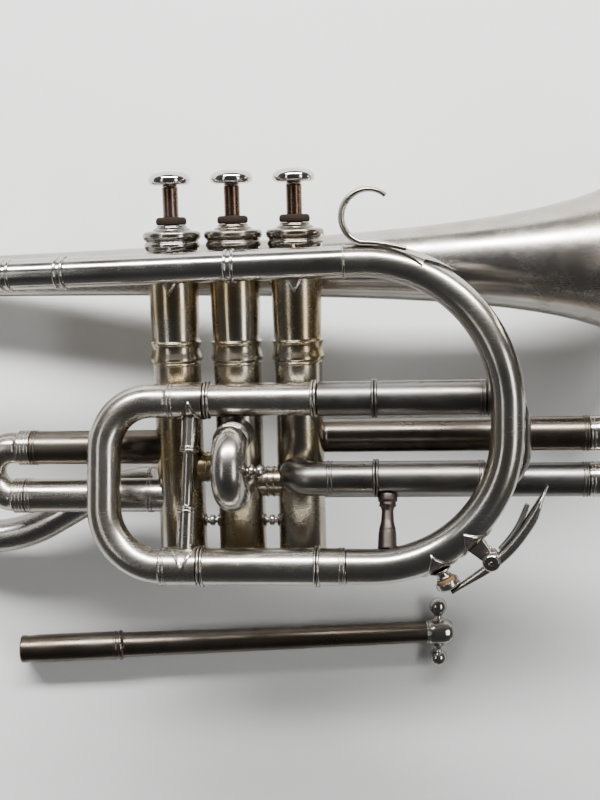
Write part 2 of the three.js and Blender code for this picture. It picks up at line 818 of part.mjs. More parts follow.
// ---- Second slide, which points away from the bell ----
SECOND_Z.forEach((height, i) => {
  const sleeve = tube(at(0, -4, height), at(0, SECOND_SLEEVE_END, height), 6.9, 6.4, [18.8]);
  const name = ["second_slide_upper_sleeve", "second_slide_lower_sleeve"][i];
  cornet.add(named(name, solid(sleeve).subtract(casingCut(1)), silver));
});

function secondCrook() {
  const [upper, lower] = SECOND_Z;
  const corner = (upper - lower) / 2;
  const tip = SECOND_SLEEVE_END - GAP - corner;
  const legEnd = -11.2;
  const path = route(
    [at(0, legEnd, upper), at(0, tip, upper), at(0, tip, lower), at(0, legEnd, lower)],
    [corner - 0.01, corner - 0.01],
  );
  const length = path.getLength();
  const leg = legEnd - SECOND_SLEEVE_END + GAP;
  const outline = [
    [0, 6.1],
    [leg, 6.1],
    [leg, 6.9],
    [length - leg, 6.9],
    [length - leg, 6.1],
    [length, 6.1],
  ];
  const knob = turned(
    [[0, 5], [3, 5], [1.4, 7.4], [2.5, 8.8], [2.5, 9.8], [1.3, 10.9], [2.4, 12.2], [2.4, 13.2], [0, 14.4]],
    12,
  )
    .rotateY(Math.PI / 2)
    .translate(0, tip + 2, (upper + lower) / 2);
  return solid(bentTube(path, outline, 5.5, at(1, 0, 0))).add(solid(knob));
}
cornet.add(named("second_crook", secondCrook(), silver));

// ---- Leadpipe braces, each a post on a pointed foot ----
[0, 2].forEach((valve) => {
  const x = VALVES[valve];
  const pipe = leadAt(x);
  const foot = new THREE.CylinderGeometry(5.2, 5.2, 0.9, 4).scale(0.8, 1, 1.6).translate(x, -10.95, 114);
  const post = rod(2.3, at(x, -10.8, pipe.z), at(x, pipe.y + LEADPIPE_R + 0.4, pipe.z), 10);
  cornet.add(named(`leadpipe_brace_${valve + 1}`, joined(foot, post), silver));
});

// ---- Finger hook: an open C that runs down into a strap on the front bow ----
function fingerHook() {
  const HOOK = { centre: [56.2, 135.6], inner: 9, outer: 11.4, open: 0.85, foot: 4.25 };
  const STRAP = {
    centre: [FRONT_BOW_RIGHT - FRONT_BOW_TOP_R, LEAD_TO.z - FRONT_BOW_TOP_R],
    inner: FRONT_BOW_TOP_R + 6.7,
    outer: FRONT_BOW_TOP_R + 7.9,
    top: 1.6,
    tip: 0.97,
  };
  const point = ({ centre: [x, z] }, angle, radius) => [
    x + radius * Math.cos(angle),
    z + radius * Math.sin(angle),
  ];
  const span = (from, to, count) =>
    Array.from({ length: count }, (_, i) => from + ((to - from) * i) / (count - 1));
  const points = [
    ...span(HOOK.open, HOOK.foot - 0.05, 12).map((angle) => point(HOOK, angle, HOOK.outer)),
    ...span(STRAP.top, STRAP.tip, 6).map((angle) => point(STRAP, angle, STRAP.inner)),
    ...span(STRAP.tip, STRAP.top - 0.1, 5).map((angle) => point(STRAP, angle, STRAP.outer)),
    ...span(HOOK.foot + 0.05, HOOK.open, 12).map((angle) => point(HOOK, angle, HOOK.inner)),
  ];
  return plate(points, -31.5, -24.5);
}
cornet.add(named("finger_hook", fingerHook(), silver));

// ---- Water key ----
const keyPivot = at(
  FRONT_LOW_CENTRE.x + KEY_PIVOT_R * Math.cos(KEY_PIVOT_ANGLE),
  BOTTOM_Y,
  FRONT_LOW_CENTRE.z + KEY_PIVOT_R * Math.sin(KEY_PIVOT_ANGLE),
);

function keySaddle() {
  const place = (geometry) => solid(keyPlace(KEY_PIVOT_ANGLE, geometry));
  const ear = (side) => {
    const [a, b] = [side * 2.9, side * 4.3];
    const [near, far] = [Math.min(a, b), Math.max(a, b)];
    return place(block(60, KEY_PIVOT_R, near, far, -2.8, 2.8)).add(
      place(rod(KEY_EYE_R, at(KEY_PIVOT_R, near, 0), at(KEY_PIVOT_R, far, 0))),
    );
  };
  return place(block(58.6, 61.8, -4.3, 4.3, -3.6, 3.6))
    .add(ear(1))
    .add(ear(-1))
    .subtract(place(rod(7.3, at(FRONT_BOW_LOW_R, 0, -8), at(FRONT_BOW_LOW_R, 0, 8), 2 * SIDES)))
    .subtract(place(rod(KEY_PIN_R + GAP, at(KEY_PIVOT_R, -6, 0), at(KEY_PIVOT_R, 6, 0), 10)));
}

const keyPin = turned(
  [
    [0, 4.9],
    [KEY_PIN_R, 4.9],
    [KEY_PIN_R, -5.2],
    [KEY_EYE_R, -5.2],
    [KEY_EYE_R, -7],
    [KEY_EYE_R - 0.7, -8],
    [0, -8],
  ],
)
  .rotateX(-Math.PI / 2)
  .translate(keyPivot.x, keyPivot.y, keyPivot.z);

// The lever runs from the cork cup under the bow, over the pivot, to the thumb end.
function keyLever() {
  const line = new THREE.CatmullRomCurve3(
    [[86.6, -11], [92.6, -7], [101.4, -1], [110, 7.2], [117, 17.2], [121, 25.6], [123.6, 31.5]].map(
      ([x, z]) => at(x, BOTTOM_Y, z),
    ),
  );
  const count = 12;
  const outer = [];
  const inner = [];
  for (let i = 0; i <= count; i++) {
    const point = line.getPointAt(i / count);
    const forward = line.getTangentAt(i / count);
    const half = (KEY_LEVER_THICK / 2) * Math.min(1, 0.3 + 2.2 * (1 - i / count)); // thin at the thumb end
    outer.push([point.x + forward.z * half, point.z - forward.x * half]);
    inner.push([point.x - forward.z * half, point.z + forward.x * half]);
  }
  const [near, far] = [BOTTOM_Y - KEY_LEVER_HALF_WIDTH, BOTTOM_Y + KEY_LEVER_HALF_WIDTH];
  const bar = plate([...outer, ...inner.reverse()], near, far);
  const hub = rod(KEY_EYE_R - 0.2, keyPivot.clone().setY(near), keyPivot.clone().setY(far));
  const cup = laid(
    turned([[4.1, 0], [4.8, 0], [4.8, 2.6], [3, 3.6], [0, 3.8], [0, 2.3], [4.1, 2.3]], 14),
    ...[KEY_SEAT_R + 1.4, KEY_SEAT_R + 8].map((radius) => keyAt(radius)),
  );
  const bore = rod(KEY_PIN_R + GAP, keyPivot.clone().setY(near - 3.5), keyPivot.clone().setY(far + 3.5), 10);
  return joined(bar, hub, cup).subtract(solid(bore));
}

const keyAt = (radius) =>
  at(
    FRONT_LOW_CENTRE.x + radius * Math.cos(KEY_NIPPLE_ANGLE),
    BOTTOM_Y,
    FRONT_LOW_CENTRE.z + radius * Math.sin(KEY_NIPPLE_ANGLE),
  );
const keyCork = rod(3.7, keyAt(KEY_SEAT_R + GAP), keyAt(KEY_SEAT_R + KEY_CORK_THICK), 14);

const keySpring = plate(
  [[105.2, 6.6], [106, 6.2], [112.6, 15.4], [116.4, 23.6], [115.6, 24], [111.8, 15.9]],
  BOTTOM_Y - 1.6,
  BOTTOM_Y + 1.6,
);

cornet.add(
  named("water_key_saddle", keySaddle(), silver),
  named("water_key_pin", keyPin, steel),
  named("water_key_lever", keyLever(), silver),
  named("water_key_cork", keyCork, cork),
  named("water_key_spring", keySpring, steel),
);

// ---- The loose shank on the table ----
// Its frame here is the table's: +X along the instrument, +Z up, and Z given from the table.
const SHANK_LEFT = at(-105.2, -61, 7.1);
const SHANK_RIGHT_SHIFT = -1.1; // how far its right end swings towards -Y
const SHANK_LENGTH = 203.5;
const SHANK_END_R = 4.9; // where the tube runs into its collar
const shank = new THREE.Group();
shank.position.copy(SHANK_LEFT).setZ(SHANK_LEFT.z + new THREE.Box3().setFromObject(cornet, true).min.z);
shank.rotation.z = SHANK_RIGHT_SHIFT / SHANK_LENGTH;
const shankTube = turned([
  [5.9, 0],
  [6.5, 1],
  [6.5, 45.5],
  [7, 46],
  [7, 48],
  [5.8, 48.6],
  [SHANK_END_R, SHANK_LENGTH - 13],
  [SHANK_END_R, SHANK_LENGTH - 2.3],
  [3.9, SHANK_LENGTH - 2.3],
  [4.9, 50],
  [5.3, 0],
]).rotateY(Math.PI / 2);
const ball = (side) =>
  turned([[0, 4], [2.2, 4], [2.6, 7.6], [1.7, 8.4], [4.3, 11.6], [4.3, 13.8], [2.4, 16.1], [0, 16.7]], 12)
    .rotateX((side * Math.PI) / 2)
    .translate(SHANK_LENGTH - 6, 0, 0);
const collar = joined(
  turned([[0, 0], [5.6, 0], [6.2, 1.6], [6.2, 9], [4.4, 12.6], [0, 13]], 16)
    .rotateY(Math.PI / 2)
    .translate(SHANK_LENGTH - 12, 0, 0),
  ball(1),
  ball(-1),
).subtract(
  solid(rod(SHANK_END_R + GAP, at(SHANK_LENGTH - 20, 0, 0), at(SHANK_LENGTH - 2, 0, 0), 16)),
).subtract(solid(rod(3, at(SHANK_LENGTH - 4, 0, 0), at(SHANK_LENGTH + 8, 0, 0), 12)));
shank.add(named("shank_tube", shankTube, silver), named("shank_collar", collar, silver));

// ---- The whole object, with its origin under the middle of its box, on the table ----
const lyingPart = new THREE.Group();
lyingPart.add(cornet, shank);
const bounds = new THREE.Box3().setFromObject(lyingPart, true);
const middle = bounds.getCenter(new THREE.Vector3());
lyingPart.position.set(-middle.x, -middle.y, -bounds.min.z);

const part = new THREE.Group();
part.add(lyingPart);

export default part;
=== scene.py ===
"""Looks of a silver-plated cornet lying on a table, with its loose mouthpipe shank beside it.

Shapes are written in millimetres in the cornet's own frame: +X towards the bell mouth, +Z along the valve
stems towards the buttons, +Y towards the player's left, with the middle valve on the Z axis.
PLACE carries that frame, in metres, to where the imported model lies.
"""

import json
import math
from bisect import bisect

import bmesh
import bpy
from mathutils import Matrix, Vector


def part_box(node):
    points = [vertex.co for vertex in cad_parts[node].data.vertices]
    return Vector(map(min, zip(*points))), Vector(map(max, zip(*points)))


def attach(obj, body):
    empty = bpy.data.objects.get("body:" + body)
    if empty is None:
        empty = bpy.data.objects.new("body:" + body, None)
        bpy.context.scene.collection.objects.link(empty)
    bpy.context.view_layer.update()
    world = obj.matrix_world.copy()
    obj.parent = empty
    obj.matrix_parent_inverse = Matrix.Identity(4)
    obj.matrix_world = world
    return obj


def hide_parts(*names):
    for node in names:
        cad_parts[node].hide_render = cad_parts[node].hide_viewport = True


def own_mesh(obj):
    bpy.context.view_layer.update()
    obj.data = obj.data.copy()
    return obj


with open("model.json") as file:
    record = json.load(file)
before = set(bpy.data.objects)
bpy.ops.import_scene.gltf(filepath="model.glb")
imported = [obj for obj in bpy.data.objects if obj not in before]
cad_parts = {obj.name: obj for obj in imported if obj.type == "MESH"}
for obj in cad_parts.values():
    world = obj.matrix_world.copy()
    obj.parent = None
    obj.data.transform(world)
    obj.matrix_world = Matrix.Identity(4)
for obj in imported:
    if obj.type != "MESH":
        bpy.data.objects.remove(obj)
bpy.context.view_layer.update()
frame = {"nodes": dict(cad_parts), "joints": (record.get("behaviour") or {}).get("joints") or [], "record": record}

MM = 0.001
SEGMENTS = 56  # points round a tube
STEP = 1.6  # greatest length of a face along a bent tube
STRAIGHT_STEP = 12  # the same along a straight one
SHARP_ANGLE = math.radians(42)  # an edge that turns more than this is shaded sharp

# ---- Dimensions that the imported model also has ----
VALVE_PITCH = 25.4
VALVES = (-VALVE_PITCH, 0.0, VALVE_PITCH)
CASING_R = 9.9
CASING_TOP = 123.3
CASING_BOTTOM = -3.0
PISTON_MIDDLE = 34.25
GUIDE_Z = 70.3
BARREL_TOP = 116.0
STEM_TOP = 149.2
STEM_R = 3.2
BELL_Y = 24.0
BELL_TAIL = -118.5
BELL_MOUTH = 182.0
BELL_TOP_Z = 113.9
BELL_BOW_R = 58.6
SLIDE_Y = -17.6
BOTTOM_Y = -32.0
BOTTOM_Z = -0.9
UPPER_Z = 64.0
LOWER_Z = 31.5
THIRD_Y = 8.0
THIRD_Z = (44.5, 25.0)
FIRST_Z = (41.8, 21.0)
FIRST_END = (-89.0, -92.5)
SECOND_Z = (48.7, 27.1)
TRANSFER_Z = (33.0, 26.6)
LEAD_FROM = Vector((-93, -20, 116))
LEAD_TO = Vector((45, -27, 118.6))
SLEEVE_R = 7.15
SHANK_LENGTH = 203.5
SHANK_TURN = -1.1 / SHANK_LENGTH

BODY_OF = {n: b for b, nodes in frame["record"]["behaviour"]["bodies"].items() for n in nodes}
SLOT_OF = {s["node"]: s["material_slot"] for s in frame["record"]["subparts"]}
AXIS_OF = {joint["name"]: Vector(joint["axis"]) for joint in frame["joints"]}


def place_of_cornet():
    """The cornet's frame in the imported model's, from the joints' axes and the middle piston's box."""
    up = -AXIS_OF["valve_2_press"]
    fore = -AXIS_OF["tuning_slide_pull"]
    left = up.cross(fore)
    low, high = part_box("piston_2")
    origin = (low + high) / 2 - up * PISTON_MIDDLE * MM
    turn = Matrix((fore, left, up)).transposed().to_4x4()
    return Matrix.Translation(origin) @ turn @ Matrix.Scale(MM, 4)


PLACE = place_of_cornet()


# ---- Lines ----
class Path:
    """A line measured by distance. normal is a direction that the line never runs along."""

    def __init__(self, points, normal=(0, 1, 0)):
        self.points = [Vector(points[0])]
        for end in map(Vector, points[1:]):
            start = self.points[-1].copy()
            count = max(1, round((end - start).length))
            self.points += [start.lerp(end, (i + 1) / count) for i in range(count)]
        self.normal = Vector(normal)
        self.measure()

    def measure(self):
        runs = [b - a for a, b in zip(self.points, self.points[1:])]
        self.marks = [0.0]
        for run in runs:
            self.marks.append(self.marks[-1] + run.length)
        self.length = self.marks[-1]
        ways = [run.normalized() for run in runs]
        joints = [(a + b).normalized() for a, b in zip(ways, ways[1:])]
        self.forwards = [ways[0], *joints, ways[-1]]

    def shifted(self, y_of):
        """The same line with its Y worked out from each point."""
        for point in self.points:
            point.y = y_of(point)
        self.measure()
        return self

    def frame(self, distance):
        """The point at that distance, two directions across the line and the one along it."""
        i = min(max(bisect(self.marks, distance), 1), len(self.marks) - 1)
        share = (distance - self.marks[i - 1]) / (self.marks[i] - self.marks[i - 1])
        point = self.points[i - 1].lerp(self.points[i], share)
        forward = self.forwards[i - 1].lerp(self.forwards[i], min(max(share, 0), 1)).normalized()
        side = (self.normal - forward * forward.dot(self.normal)).normalized()
        return point, side, forward.cross(side), forward

    def near(self, x, last=False):
        """The distance at which the line passes that X, for the first or the last time."""
        order = range(1, len(self.points))
        for i in reversed(order) if last else order:
            a, b = self.points[i - 1].x, self.points[i].x
            if min(a, b) <= x <= max(a, b) and a != b:
                return self.marks[i - 1] + (self.marks[i] - self.marks[i - 1]) * (x - a) / (b - a)
        raise ValueError(x)


def rounded(points, radii):
    """A chain of straight runs with each inner corner rounded to its own radius."""
    points = [Vector(p) for p in points]
    line = [points[0]]
    for i, radius in enumerate(radii):
        corner = points[i + 1]
        into = (corner - points[i]).normalized()
        out = (points[i + 2] - corner).normalized()
        turn = into.angle(out)
        begin = corner - into * radius * math.tan(turn / 2)
        inside = (out - into * into.dot(out)).normalized()
        count = max(6, round(turn * 14))
        for k in range(count + 1):
            angle = turn * k / count
            line.append(begin + inside * radius * (1 - math.cos(angle)) + into * radius * math.sin(angle))
    line.append(points[-1])
    return [p for i, p in enumerate(line) if not i or (p - line[i - 1]).length > 1e-3]


def spline(points, count=12):
    """A smooth line through all the points."""
    points = [Vector(p) for p in points]
    points = [2 * points[0] - points[1], *points, 2 * points[-1] - points[-2]]
    line = []
    for a, b, c, d in zip(points, points[1:], points[2:], points[3:]):
        for k in range(count):
            t = k / count
            square = (2 * a - 5 * b + 4 * c - d) * t * t
            cube = (3 * b - a - 3 * c + d) * t**3
            line.append(0.5 * ((2 * b) + (c - a) * t + square + cube))
    return line + [points[-2]]


def lead(x):
    """The point of the mouthpipe's middle line at that X."""
    return LEAD_FROM.lerp(LEAD_TO, (x - LEAD_FROM.x) / (LEAD_TO.x - LEAD_FROM.x))


def smoothstep(value, low, high):
    t = min(max((value - low) / (high - low), 0), 1)
    return t * t * (3 - 2 * t)


# ---- Outlines: (radius, distance) pairs ----
# Beads on a tube, each with its shift along the tube, half its width and its height.
TALL = ((-0.62, 0.62, 0.95), (0.62, 0.62, 0.95))
PAIR = ((-1.4, 0.75, 0.7), (1.4, 0.75, 0.7))
FINE = ((-0.7, 0.42, 0.34), (0.7, 0.42, 0.34))
SINGLE = ((0.0, 0.5, 0.4),)


def soften(outline, size=0.22, closed=True):
    """Each corner of an outline becomes a small round one."""
    made = []
    count = len(outline)
    for i, corner in enumerate(outline):
        if not closed and i in (0, count - 1):
            made.append(corner)
            continue
        before, after = outline[i - 1], outline[(i + 1) % count]
        cuts = []
        for other in (before, after):
            gap = math.dist(corner, other)
            share = min(size / gap, 0.42) if gap > 1e-6 else 0
            cuts.append([c + (o - c) * share for c, o in zip(corner, other)])
        ends = list(zip(cuts[0], corner, cuts[1]))
        for t in (0, 0.33, 0.67, 1):
            made.append(tuple((1 - t) ** 2 * a + 2 * t * (1 - t) * c + t * t * b for a, c, b in ends))
    return made


def beaded(stops, rings=()):
    """An outer line through (radius, distance) stops with beads on it. A ring is (distance, beads)."""

    def radius_at(distance):
        for (r0, d0), (r1, d1) in zip(stops, stops[1:]):
            if d0 <= distance <= d1:
                return r0 if d1 == d0 else r0 + (r1 - r0) * (distance - d0) / (d1 - d0)
        return stops[-1][0]

    line = list(stops)
    for middle, beads in rings:
        low = middle + beads[0][0] - beads[0][1]
        high = middle + beads[-1][0] + beads[-1][1]
        line = [stop for stop in line if not low < stop[1] < high]
        for shift, half, rise in beads:
            for k in range(9):
                angle = math.pi * k / 8
                distance = middle + shift - half * math.cos(angle)
                line.append((radius_at(distance) + rise * math.sin(angle), distance))
    order = sorted(range(len(line)), key=lambda i: (round(line[i][1], 4), i))
    return [line[i] for i in order]


def hollow(outer, bore):
    """A tube's outline from its outer line: down the outside and back along the bore."""
    start, end = outer[0], outer[-1]
    rim = 0.16
    return [
        (start[0] - rim, start[1]),
        (start[0], start[1] + rim),
        *outer[1:-1],
        (end[0], end[1] - rim),
        (end[0] - rim, end[1]),
        (bore, end[1]),
        (bore, start[1]),
    ]


def fine(outline, step, closed=True):
    """Adds points so that no stretch is longer than step."""
    made = []
    pairs = list(zip(outline, outline[1:])) + ([(outline[-1], outline[0])] if closed else [])
    for a, b in pairs:
        count = max(1, math.ceil(abs(b[1] - a[1]) / step))
        made += [tuple(p + (q - p) * k / count for p, q in zip(a, b)) for k in range(count)]
    return made if closed else [*made, outline[-1]]


# ---- Surfaces: rows of points, each row closed round the line ----
def skin(path, outline, segments=SEGMENTS, teeth=0):
    """Rows round a line. An outline point may have a third number, the depth of the knurling there."""
    rows = []
    for radius, distance, *depth in outline:
        centre, side, other, _ = path.frame(distance)
        row = []
        for j in range(segments):
            angle = 2 * math.pi * j / segments
            r = radius + (depth[0] * math.cos(teeth * angle) if depth else 0)
            row.append(centre + side * (r * math.cos(angle)) + other * (r * math.sin(angle)))
        rows.append([row[0]] if radius < 1e-6 else row)
    return rows, len(rows[0]) > 1


def turned(profile, start, towards, segments=SEGMENTS, teeth=0, normal=None, size=0.22):
    """A turned solid: (radius, height) pairs, from start towards a point."""
    start, towards = Vector(start), Vector(towards)
    way = (towards - start).normalized()
    across = normal or ((0, 1, 0) if abs(way.y) < 0.9 else (1, 0, 0))
    path = Path([start, start + way], across)
    closed = profile[0][0] > 0
    outline = soften(profile, size, closed) if size else profile
    return skin(path, outline, segments, teeth)


def straight(start, end, stops, bore, rings=()):
    """A straight hollow tube with beads. stops is a radius or (radius, distance) pairs."""
    path = Path([start, end], (1, 0, 0) if start[0] == end[0] else (0, 1, 0))
    if not isinstance(stops, list):
        stops = [(stops, 0), (stops, path.length)]
    return skin(path, fine(hollow(beaded(stops, rings), bore), STRAIGHT_STEP))


def bent(path, stops, bore, rings=()):
    """A hollow tube along a bent line, with beads."""
    return skin(path, fine(hollow(beaded(stops, rings), bore), STEP))


def meet_casing(surface, valve, away):
    """Slides the points inside a casing out of it along a direction, so that a tube's end fits the casing."""
    away = Vector((*away, 0)).normalized()
    reach = CASING_R - 0.04
    for row in surface[0]:
        for i, point in enumerate(row):
            off = Vector((point.x - VALVES[valve], point.y, 0))
            if off.length < reach:
                b = off.dot(away)
                row[i] = point + away * (math.sqrt(b * b + reach * reach - off.length_squared) - b)
    return surface


def diamond(path, distance, facing, along, around, radius, rise=0.4):
    """A thin four-pointed plate wrapped on a tube, with a raised edge. facing is the angle of its middle."""
    count = 28
    layers = []
    for top in (True, False):
        grid = []
        for i in range(count + 1):
            row = []
            for j in range(count + 1):
                u, v = 2 * i / count - 1, 2 * j / count - 1
                edge = max(abs(u), abs(v))
                lift = rise + 0.35 * math.exp(-(((edge - 0.88) / 0.07) ** 2)) if top else -0.3
                if top and edge > 0.99:
                    lift = 0.05
                centre, side, other, _ = path.frame(distance + (u + v) / 2 * along)
                angle = facing + (u - v) / 2 * around
                r = radius + lift
                row.append(centre + side * (r * math.cos(angle)) + other * (r * math.sin(angle)))
            grid.append(row)
        layers.append(grid)
    return layers


def ribbon(path, width, thick, segments=28, power=0.55):
    """A bar with a rounded flat section. width and thick are functions of the share of its length."""
    rows = []
    count = max(24, round(path.length / 1.2))
    for i in range(count + 1):
        share = i / count
        centre, side, other, _ = path.frame(share * path.length)
        w, t = width(share) / 2, thick(share) / 2
        row = []
        for j in range(segments):
            angle = 2 * math.pi * j / segments
            c, s = math.cos(angle), math.sin(angle)
            row.append(
                centre
                + side * w * math.copysign(abs(c) ** power, c)
                + other * t * math.copysign(abs(s) ** power, s)
            )
        rows.append(row)
    middle = [sum(row, Vector()) / segments for row in (rows[0], rows[-1])]
    return [[middle[0]], *rows, [middle[1]]], False


def add_rows(bm, surface):
    """Faces between neighbouring rows. The last row meets the first where the outline is closed."""
    rows, closed = surface
    made = [[bm.verts.new(point) for point in row] for row in rows]
    pairs = list(zip(made, made[1:]))
    if closed:
        pairs.append((made[-1], made[0]))
    for a, b in pairs:
        count = max(len(a), len(b))
        for j in range(count):
            k = (j + 1) % count
            corners = (a[j % len(a)], a[k % len(a)], b[k % len(b)], b[j % len(b)])
            corners = list(dict.fromkeys(corners))
            if len(corners) > 2:
                bm.faces.new(corners)


def add_plate(bm, layers):
    """Faces over the top and the base of a thin plate, and round its edge."""
    top, base = [[[bm.verts.new(p) for p in row] for row in grid] for grid in layers]
    count = len(top) - 1
    for i in range(count):
        for j in range(count):
            for grid in (top, base):
                bm.faces.new((grid[i][j], grid[i + 1][j], grid[i + 1][j + 1], grid[i][j + 1]))
    ring = [(i, 0) for i in range(count)] + [(count, j) for j in range(count)]
    ring += [(count - i, count) for i in range(count)] + [(0, count - j) for j in range(count)]
    for a, b in zip(ring, ring[1:] + ring[:1]):
        bm.faces.new((top[a[0]][a[1]], top[b[0]][b[1]], base[b[0]][b[1]], base[a[0]][a[1]]))


def piece(node, *surfaces, material=None, place=None):
    """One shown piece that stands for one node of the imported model."""
    name = f"{node}_skin"
    mesh = bpy.data.meshes.new(name)
    bm = bmesh.new()
    for surface in surfaces:
        add_rows(bm, surface) if isinstance(surface, tuple) else add_plate(bm, surface)
    bmesh.ops.remove_doubles(bm, verts=bm.verts, dist=1e-5)
    bmesh.ops.dissolve_degenerate(bm, edges=bm.edges, dist=1e-5)
    bmesh.ops.recalc_face_normals(bm, faces=bm.faces)
    bm.transform(place or PLACE)
    bm.to_mesh(mesh)
    bm.free()
    mesh.polygons.foreach_set("use_smooth", [True] * len(mesh.polygons))
    mesh.set_sharp_from_angle(angle=SHARP_ANGLE)
    made = bpy.data.objects.new(name, mesh)
    bpy.context.scene.collection.objects.link(made)
    mesh.materials.append(material or MATERIALS[SLOT_OF[node]])
    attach(made, BODY_OF[node])
    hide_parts(node)
    return made


# ---- Materials ----
class Shader:
    """A Principled material whose patterns run in millimetres on the piece itself."""

    def __init__(self, name, metallic=1.0):
        self.material = bpy.data.materials.new(name)
        self.material.use_nodes = True
        self.tree = self.material.node_tree
        self.surface = self.tree.nodes["Principled BSDF"]
        self.surface.inputs["Metallic"].default_value = metallic
        where = self.node("ShaderNodeTexCoord").outputs["Object"]
        self.mm = self.node("ShaderNodeVectorMath", operation="SCALE")
        self.tree.links.new(where, self.mm.inputs[0])
        self.mm.inputs["Scale"].default_value = 1 / MM

    def node(self, kind, **settings):
        made = self.tree.nodes.new(kind)
        for key, value in settings.items():
            setattr(made, key, value)
        return made

    def feed(self, socket, value):
        if isinstance(value, bpy.types.NodeSocket):
            self.tree.links.new(value, socket)
        else:
            socket.default_value = value

    def noise(self, scale, detail=4.0, roughness=0.6, stretch=None):
        made = self.node("ShaderNodeTexNoise")
        where = self.mm.outputs[0]
        if stretch:
            mapping = self.node("ShaderNodeMapping")
            mapping.inputs["Scale"].default_value = stretch
            self.tree.links.new(where, mapping.inputs["Vector"])
            where = mapping.outputs[0]
        self.tree.links.new(where, made.inputs["Vector"])
        made.inputs["Scale"].default_value = scale
        made.inputs["Detail"].default_value = detail
        made.inputs["Roughness"].default_value = roughness
        return made.outputs["Fac"]

    def range(self, value, low, high, to_low=0.0, to_high=1.0):
        made = self.node("ShaderNodeMapRange", interpolation_type="SMOOTHSTEP")
        keys = ("Value", "From Min", "From Max", "To Min", "To Max")
        for key, number in zip(keys, (value, low, high, to_low, to_high)):
            self.feed(made.inputs[key], number)
        return made.outputs[0]

    def math(self, operation, a, b):
        made = self.node("ShaderNodeMath", operation=operation)
        self.feed(made.inputs[0], a)
        self.feed(made.inputs[1], b)
        return made.outputs[0]

    def mix(self, share, a, b):
        made = self.node("ShaderNodeMix", data_type="RGBA")
        self.feed(made.inputs["Factor"], share)
        for key, colour in (("A", a), ("B", b)):
            socket = [s for s in made.inputs if s.name == key and s.type == "RGBA"][0]
            self.feed(socket, colour if isinstance(colour, bpy.types.NodeSocket) else (*colour, 1))
        return [s for s in made.outputs if s.type == "RGBA"][0]

    def recess(self, reach):
        """1 deep in a recess or next to another piece, 0 in the open."""
        made = self.node("ShaderNodeAmbientOcclusion", samples=8)
        made.inputs["Distance"].default_value = reach * MM
        return self.math("SUBTRACT", 1.0, made.outputs["AO"])

    def bump(self, height, depth_mm):
        made = self.node("ShaderNodeBump")
        made.inputs["Distance"].default_value = depth_mm * MM
        made.inputs["Strength"].default_value = 1.0
        self.feed(made.inputs["Height"], height)
        self.feed(self.surface.inputs["Normal"], made.outputs[0])


def plate(name, clean, warm, tarnish_and_shade_colour, stained, roughness, haze=0.05):
    """Metal plate: clean in the open, warm where it is worn, with brown tarnish in drifts, and browned in recesses
    and next to other pieces by painted shade together with the tarnish that collects there.
    """
    s = Shader(name)
    drift = s.noise(0.025, 3, 0.5)
    mottle = s.noise(0.06, 4, 0.55)
    speck = s.noise(1.1, 4, 0.65)
    hair = s.noise(1.0, 4, 0.7, (0.08, 1.4, 1.4))
    # Painted shade: ambient occlusion browns the plate in recesses, in the grooves beside rings and next to other
    # pieces, where shade falls; it also stands for the tarnish that collects there.
    hollow_tarnish_and_shade = s.math("MULTIPLY", s.range(s.recess(4.0), 0.3, 0.85), 0.75)
    groove_tarnish_and_shade = s.math("MULTIPLY", s.range(s.recess(1.1), 0.22, 0.55), 0.9)
    colour = s.mix(s.range(drift, 0.42, 0.6), clean, warm)
    shade = s.math("MULTIPLY", s.range(mottle, 0.36, 0.68), stained)
    shade = s.math("ADD", shade, s.math("MAXIMUM", hollow_tarnish_and_shade, groove_tarnish_and_shade))
    shade = s.math("ADD", shade, s.math("MULTIPLY", s.range(speck, 0.70, 0.82), 0.12))
    shade = s.math("MINIMUM", shade, 0.94)
    # The painted shade and the random tarnish both pull the colour towards the same brown.
    colour = s.mix(shade, colour, tarnish_and_shade_colour)
    s.feed(s.surface.inputs["Base Color"], colour)
    rough = s.range(mottle, 0.3, 0.7, roughness, roughness + haze)
    rough = s.math("ADD", rough, s.math("MULTIPLY", shade, 0.14))
    rough = s.math("ADD", rough, s.range(hair, 0.35, 0.7, -0.015, 0.02))
    s.feed(s.surface.inputs["Roughness"], rough)
    s.bump(s.math("ADD", s.math("MULTIPLY", hair, 0.7), s.math("MULTIPLY", speck, 0.3)), 0.0008)
    return s.material


def soft(name, dark, light, depth, scale):
    """Felt or cork."""
    s = Shader(name, metallic=0.0)
    pile = s.noise(scale, 8, 0.75)
    pores = s.noise(scale * 0.35, 5, 0.7)
    s.feed(s.surface.inputs["Base Color"], s.mix(s.range(pile, 0.3, 0.7), dark, light))
    s.surface.inputs["Roughness"].default_value = 0.95
    s.surface.inputs["Specular IOR Level"].default_value = 0.2
    s.bump(s.math("ADD", pile, pores), depth)
    return s.material


SILVER = (0.47, 0.445, 0.41)
